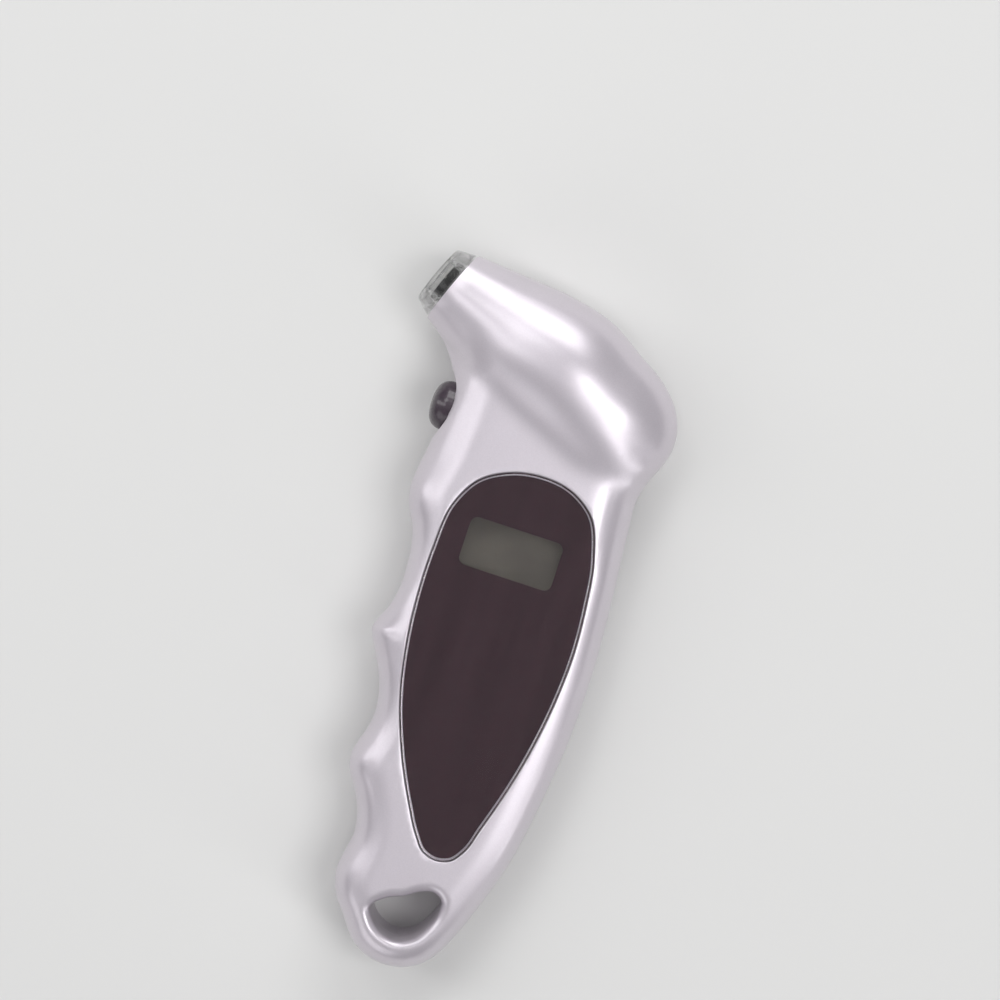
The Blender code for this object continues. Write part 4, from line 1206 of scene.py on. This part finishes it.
# %% Button
BUTTON_PROFILE = [
    (0, 2.85), (1.6, 2.82, 0.5), (3.3, 2.45, 1.2), (4.5, 1.6, 1.0), (5.15, 0.2, 1.0), (5.15, -4.0, 0.05),
    (6.1, -4.0, 0.1), (6.1, -4.9, 0.1), (2.0, -4.9, 0.1), (2.0, -6.5, 0.1), (0, -6.5),
]
PLUM = grained(
    "plum-black soft rubber", (0.050, 0.032, 0.047), (0.030, 0.020, 0.030), 0.42, 1.6, 0.008,
    coat=(0.6, 0.12),
)
PRESS = shade(turned("button_dome", rounded_profile(BUTTON_PROFILE, 0.3), BUTTON, 96), PLUM, 40)
fit_to(PRESS, "button", "plum_rubber", "power_button")

# %% [markdown]
# ## Copies by Geometry Nodes
# Screws and grip grooves repeat one small shape. A node tree puts a copy of it on each point of a mesh and
# may turn each copy by its own random angle, as screws stand after they are driven. The tree ends by making
# the copies real, because the export leaves instances out, and the result is then kept as a plain mesh.

# %% Tree that puts copies on points
def copies_tree():
    tree = bpy.data.node_groups.new("copies on points", "GeometryNodeTree")
    face = tree.interface
    face.new_socket("Points", in_out="INPUT", socket_type="NodeSocketGeometry")
    face.new_socket("Shape", in_out="INPUT", socket_type="NodeSocketObject")
    face.new_socket("Most Turn", in_out="INPUT", socket_type="NodeSocketFloat")
    face.new_socket("Finish", in_out="INPUT", socket_type="NodeSocketMaterial")
    face.new_socket("Copies", in_out="OUTPUT", socket_type="NodeSocketGeometry")
    nodes, links = tree.nodes, tree.links
    given, result = nodes.new("NodeGroupInput"), nodes.new("NodeGroupOutput")
    shape = nodes.new("GeometryNodeObjectInfo")
    most = nodes.new("ShaderNodeCombineXYZ")
    turn = nodes.new("FunctionNodeRandomValue")
    turn.data_type = "FLOAT_VECTOR"
    turn.inputs["Seed"].default_value = 7
    put = nodes.new("GeometryNodeInstanceOnPoints")
    real = nodes.new("GeometryNodeRealizeInstances")
    finish = nodes.new("GeometryNodeSetMaterial")
    turn_low = next(s for s in turn.inputs if s.name == "Min" and s.type == "VECTOR")
    turn_high = next(s for s in turn.inputs if s.name == "Max" and s.type == "VECTOR")
    turn_out = next(s for s in turn.outputs if s.type == "VECTOR")
    turn_low.default_value = (0, 0, 0)
    links.new(given.outputs["Points"], put.inputs["Points"])
    links.new(given.outputs["Shape"], shape.inputs["Object"])
    links.new(shape.outputs["Geometry"], put.inputs["Instance"])
    links.new(given.outputs["Most Turn"], most.inputs["Z"])
    links.new(most.outputs["Vector"], turn_high)
    links.new(turn_out, put.inputs["Rotation"])
    links.new(put.outputs["Instances"], real.inputs["Geometry"])
    links.new(real.outputs["Geometry"], finish.inputs["Geometry"])
    links.new(given.outputs["Finish"], finish.inputs["Material"])
    links.new(finish.outputs["Geometry"], result.inputs["Copies"])
    return tree


COPIES = copies_tree()


def copies(name, shape, spots, finish, most_turn=0.0):
    """A plain mesh of the shape at each spot, in millimetres. The shape itself is then removed."""
    mesh = bpy.data.meshes.new(name)
    mesh.from_pydata([[x * MM for x in spot] for spot in spots], [], [])
    made = bpy.data.objects.new(name, mesh)
    bpy.context.scene.collection.objects.link(made)
    step = made.modifiers.new("copies", "NODES")
    step.node_group = COPIES
    sockets = {item.name: item.identifier for item in COPIES.interface.items_tree if item.in_out == "INPUT"}
    step[sockets["Shape"]] = shape
    step[sockets["Most Turn"]] = most_turn
    step[sockets["Finish"]] = finish
    settle(made)
    bpy.data.objects.remove(shape)
    print(name, "is", len(spots), "copies,", len(made.data.polygons), "faces")
    return made


# %% [markdown]
# ## The battery door
# A thin silver plate, hinged at its lower end, closes the cell bay. A round barrel and two pins carry it in
# the rear shell, and four grooves near its free end give the thumb a hold. The plate is an outline given
# thickness; the barrel and pins are lathe shapes joined to it, and the grooves are cut by copies of one bar.

# %% Door plate, barrel, pins and grooves
PLATE_LOOP = rounded_rectangle((0.5, -38.9), (15.5, -13.2), 0.7)
PLATE_LEVELS = [(-0.28, 0.4), (-0.08, 0.48), (0.0, 0.68), (0.0, 1.9), (-0.1, 2.0)]
DOOR = stacked("battery_door_plate", PLATE_LOOP, PLATE_LEVELS)
HINGE_LINE = axis_frame(HINGE, (1, 0, 0))
END_CHAMFER = 0.15


def round_bar(name, half_length, radius, chamfer, sides):
    """A bar along the hinge line, thinner at each end by a chamfer."""
    end = [(0, half_length), (radius - chamfer, half_length), (radius, half_length - END_CHAMFER)]
    return turned(name, end + [(r, -at) for r, at in reversed(end)], HINGE_LINE, sides)


BARREL = round_bar("barrel", 7.5, 0.85, 0.15, 48)
PINS = round_bar("pins", 8.6, 0.52, 0.12, 40)
GROOVE_START, GROOVE_STEP, GROOVE_COUNT = -19.5, 1.5, 4
GROOVE_BAR = stacked(
    "groove bar", rounded_rectangle((-4.0, 0.0), (4.0, 0.7), 0.34),
    [(0.1, -1.0), (0.1, 0.45), (0, 0.55), (-0.12, 0.8)],
)
GROOVE_SPOTS = [(HINGE[0], GROOVE_START + GROOVE_STEP * n, 0.0) for n in range(GROOVE_COUNT)]
GROOVES = copies("grooves", GROOVE_BAR, GROOVE_SPOTS, SILVER)
join(DOOR, BARREL, PINS)
cut(DOOR, GROOVES)
shade(DOOR, SILVER)
fit_to(DOOR, "door", "silver_shell", "battery_door")

# %% [markdown]
# ## Screws
# Five long screws close the case from the back and three short ones hold the board. Each has a pan head with
# a cross recess, a plain neck and a shank that cuts its own thread. A true helix would need many more faces,
# and at this size rings look the same. One of each is turned on the lathe helper, its recess is cut, and the
# copies tree sets the rest.

# %% Case screws and board screws
ZINC = grained("zinc-plated steel", (0.56, 0.56, 0.55), (0.42, 0.42, 0.42), 0.34, 4.0, 0.006, metallic=1.0)
THREAD_PITCH = 0.8
THREAD_DEPTH = 0.16


def thread(radius, start, end):
    """Ridges along a shank, as lathe points from one height to the other."""
    count = int(abs(end - start) / THREAD_PITCH)
    points = []
    for i in range(count):
        at = start + (end - start) * i / count
        half = (end - start) / count / 2
        points += [(radius - THREAD_DEPTH, at), (radius, at + half)]
    return points + [(radius - THREAD_DEPTH, end)]


CROSS_DEPTH = 0.8
CROSS_HALF = 0.28     # half the width of each arm of the cross
CROSS_OVER = 0.5      # how far the cutter stands out of the head


def screw(name, profile, face, out, reach):
    """A lathe shape with a cross cut into its head. Out is 1 if the head faces up."""
    made = turned(name, profile, Matrix.Identity(4), 32)
    low, high = sorted((face - out * CROSS_DEPTH, face + out * CROSS_OVER))
    first = block("slot", (-reach, -CROSS_HALF, low), (reach, CROSS_HALF, high))
    second = block("slot", (-CROSS_HALF, -reach, low), (CROSS_HALF, reach, high))
    return cut(made, first, second)


CASE_PROFILE = [
    (0, 4.3), (1.3, 4.3), (1.75, 4.42), (2.02, 4.7), (2.1, 5.05), (2.1, 5.7), (1.0, 5.7),
    *thread(1.0, 8.0, 16.6), (0.45, 17.2), (0, 17.4),
]
BOARD_PROFILE = [
    (0, 12.2), (0.9, 12.2), (1.45, 12.02), (1.75, 11.65), (1.8, 11.3), (1.8, 11.0), (0.85, 11.0),
    *thread(0.85, 9.0, 5.0), (0.3, 4.4), (0, 4.2),
]
CASE_SET = copies(
    "case_screws", screw("case screw", CASE_PROFILE, 4.3, -1, 1.15),
    [(x, y, 0.0) for x, y in CASE_SCREWS], ZINC, most_turn=math.tau,
)
shade(CASE_SET, ZINC, 35)
fit_to(CASE_SET, "gauge", "zinc_steel", *[f"case_screw_{n}" for n in range(1, 6)])
BOARD_SET = copies(
    "board_screws", screw("board screw", BOARD_PROFILE, 12.2, 1, 1.0),
    [(x, y, 0.0) for x, y in BOARD_SCREWS], ZINC, most_turn=math.tau,
)
shade(BOARD_SET, ZINC, 35)
fit_to(BOARD_SET, "gauge", "zinc_steel", *[f"board_screw_{n}" for n in range(1, 4)])

# %% [markdown]
# ## Finishes of the inner pieces
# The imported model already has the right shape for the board, the cells, the hose and the other pieces inside,
# so these keep their meshes and only take better finishes. Moulded plastic and rubber get a grain, nickel is
# brushed along one way, the contact strips are striped, and the board shows faint tracks under its lacquer.

# %% Nickel, striped rubber and board lacquer
def brushed_nickel():
    pale, deep = (0.74, 0.72, 0.68), (0.58, 0.56, 0.53)
    made, shader, nodes, links = new_finish("bright nickel", pale, 0.24, metallic=1.0)
    lines = noise_node(nodes, links, 2.5, detail=3.0, stretch=(1, 0.05, 1))
    tone = range_node(nodes, links, lines.outputs["Fac"], 0, 1)
    links.new(mix_colours(nodes, links, tone, pale, deep), shader.inputs["Base Color"])
    links.new(range_node(nodes, links, lines.outputs["Fac"], 0.18, 0.34), shader.inputs["Roughness"])
    add_bump(nodes, links, shader, lines.outputs["Fac"], 0.003)
    return made


WAVE_UNIT = 0.1 * math.pi    # scale at which a wave texture repeats once in each unit


def band_node(nodes, links, spacing):
    """Straight bands across X over Object coordinates, this far apart in millimetres."""
    place = nodes.new("ShaderNodeTexCoord")
    bands = nodes.new("ShaderNodeTexWave")
    bands.inputs["Scale"].default_value = WAVE_UNIT / (spacing * MM)
    links.new(place.outputs["Object"], bands.inputs["Vector"])
    return bands


def striped_rubber():
    made, shader, nodes, links = new_finish("striped contact rubber", (0.62, 0.30, 0.32), 0.6)
    bands = band_node(nodes, links, 0.5)
    share = range_node(nodes, links, bands.outputs["Fac"], 0, 1, 0.45, 0.55)
    links.new(
        mix_colours(nodes, links, share, (0.66, 0.33, 0.35), (0.03, 0.03, 0.03)), shader.inputs["Base Color"],
    )
    add_bump(nodes, links, shader, bands.outputs["Fac"], 0.01)
    return made


TRACK_SIZE = 6.0      # millimetres to the pattern's unit; a brick is half a unit long
TRACK_WIDTH = 0.035   # in the same unit


def board_lacquer():
    """Green solder lacquer: tracks stand a little proud and look paler."""
    made, shader, nodes, links = new_finish("green board lacquer", (0.03, 0.19, 0.08), 0.32, coat=(0.3, 0.1))
    place = nodes.new("ShaderNodeTexCoord")
    tracks = nodes.new("ShaderNodeTexBrick")
    tracks.inputs["Scale"].default_value = 1 / (TRACK_SIZE * MM)
    tracks.inputs["Mortar Size"].default_value = TRACK_WIDTH
    tracks.inputs["Color1"].default_value = (0, 0, 0, 1)
    tracks.inputs["Color2"].default_value = (0, 0, 0, 1)
    tracks.inputs["Mortar"].default_value = (1, 1, 1, 1)
    links.new(place.outputs["Object"], tracks.inputs["Vector"])
    split = nodes.new("ShaderNodeSeparateColor")
    links.new(tracks.outputs["Color"], split.inputs["Color"])
    links.new(
        mix_colours(nodes, links, split.outputs["Red"], (0.022, 0.16, 0.065), (0.06, 0.30, 0.13)),
        shader.inputs["Base Color"],
    )
    weave = noise_node(nodes, links, 1.5)
    links.new(range_node(nodes, links, weave.outputs["Fac"], 0.26, 0.42), shader.inputs["Roughness"])
    add_bump(nodes, links, shader, split.outputs["Red"], 0.03)
    return made


# %% [markdown]
# One table says which carried piece takes which finish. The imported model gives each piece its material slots,
# so a finish is put into the slots and the mesh itself stays as it came. Assigning materials piece by piece
# would work too, but a table shows at a glance that none is left out.

# %% Finishes on the carried pieces
WHITE = grained("white moulded plastic", (0.80, 0.80, 0.77), (0.70, 0.70, 0.67), 0.45, 1.2, 0.012)
BLACK = grained("black moulded plastic", (0.030, 0.030, 0.032), (0.018, 0.018, 0.019), 0.42, 1.8, 0.015)
SILICONE = grained("milky silicone", (0.78, 0.79, 0.79), (0.66, 0.68, 0.69), 0.40, 0.7, 0.02, coat=(0.2, 0.2))
RED_SLEEVE = grained("red wire sleeve", (0.55, 0.035, 0.03), (0.42, 0.02, 0.02), 0.38, 1.4, 0.01)
BLACK_SLEEVE = grained("black wire sleeve", (0.028, 0.028, 0.03), (0.018, 0.018, 0.02), 0.38, 1.4, 0.01)
LAMP_RESIN = grained(
    "pale lamp resin", (0.84, 0.79, 0.48), (0.76, 0.68, 0.36), 0.22, 0.9, 0.01, coat=(0.5, 0.05),
)
GUIDE = clear_finish("frosted light guide", (0.93, 0.95, 0.96), 0.35, 1.49, grain=1.5, depth=0.01)
NICKEL = brushed_nickel()
INNER_FINISHES = {
    WHITE: ["lcd_holder", "nozzle_core"],
    GUIDE: ["light_guide"],
    LAMP_RESIN: ["backlight_lamp"],
    striped_rubber(): ["contact_strip_1", "contact_strip_2"],
    board_lacquer(): ["circuit_board"],
    BLACK: ["controller_chip", "pressure_sensor", "switch_body", "switch_plunger"],
    SILICONE: ["air_tube"],
    NICKEL: ["button_cell_1", "button_cell_2", "button_cell_3", "positive_contact", "negative_contact"],
    RED_SLEEVE: ["positive_wire"],
    BLACK_SLEEVE: ["negative_wire"],
}
for finish, names in INNER_FINISHES.items():
    for name in names:
        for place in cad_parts[name].material_slots:
            place.material = finish
    print(finish.name, "on", ", ".join(names))
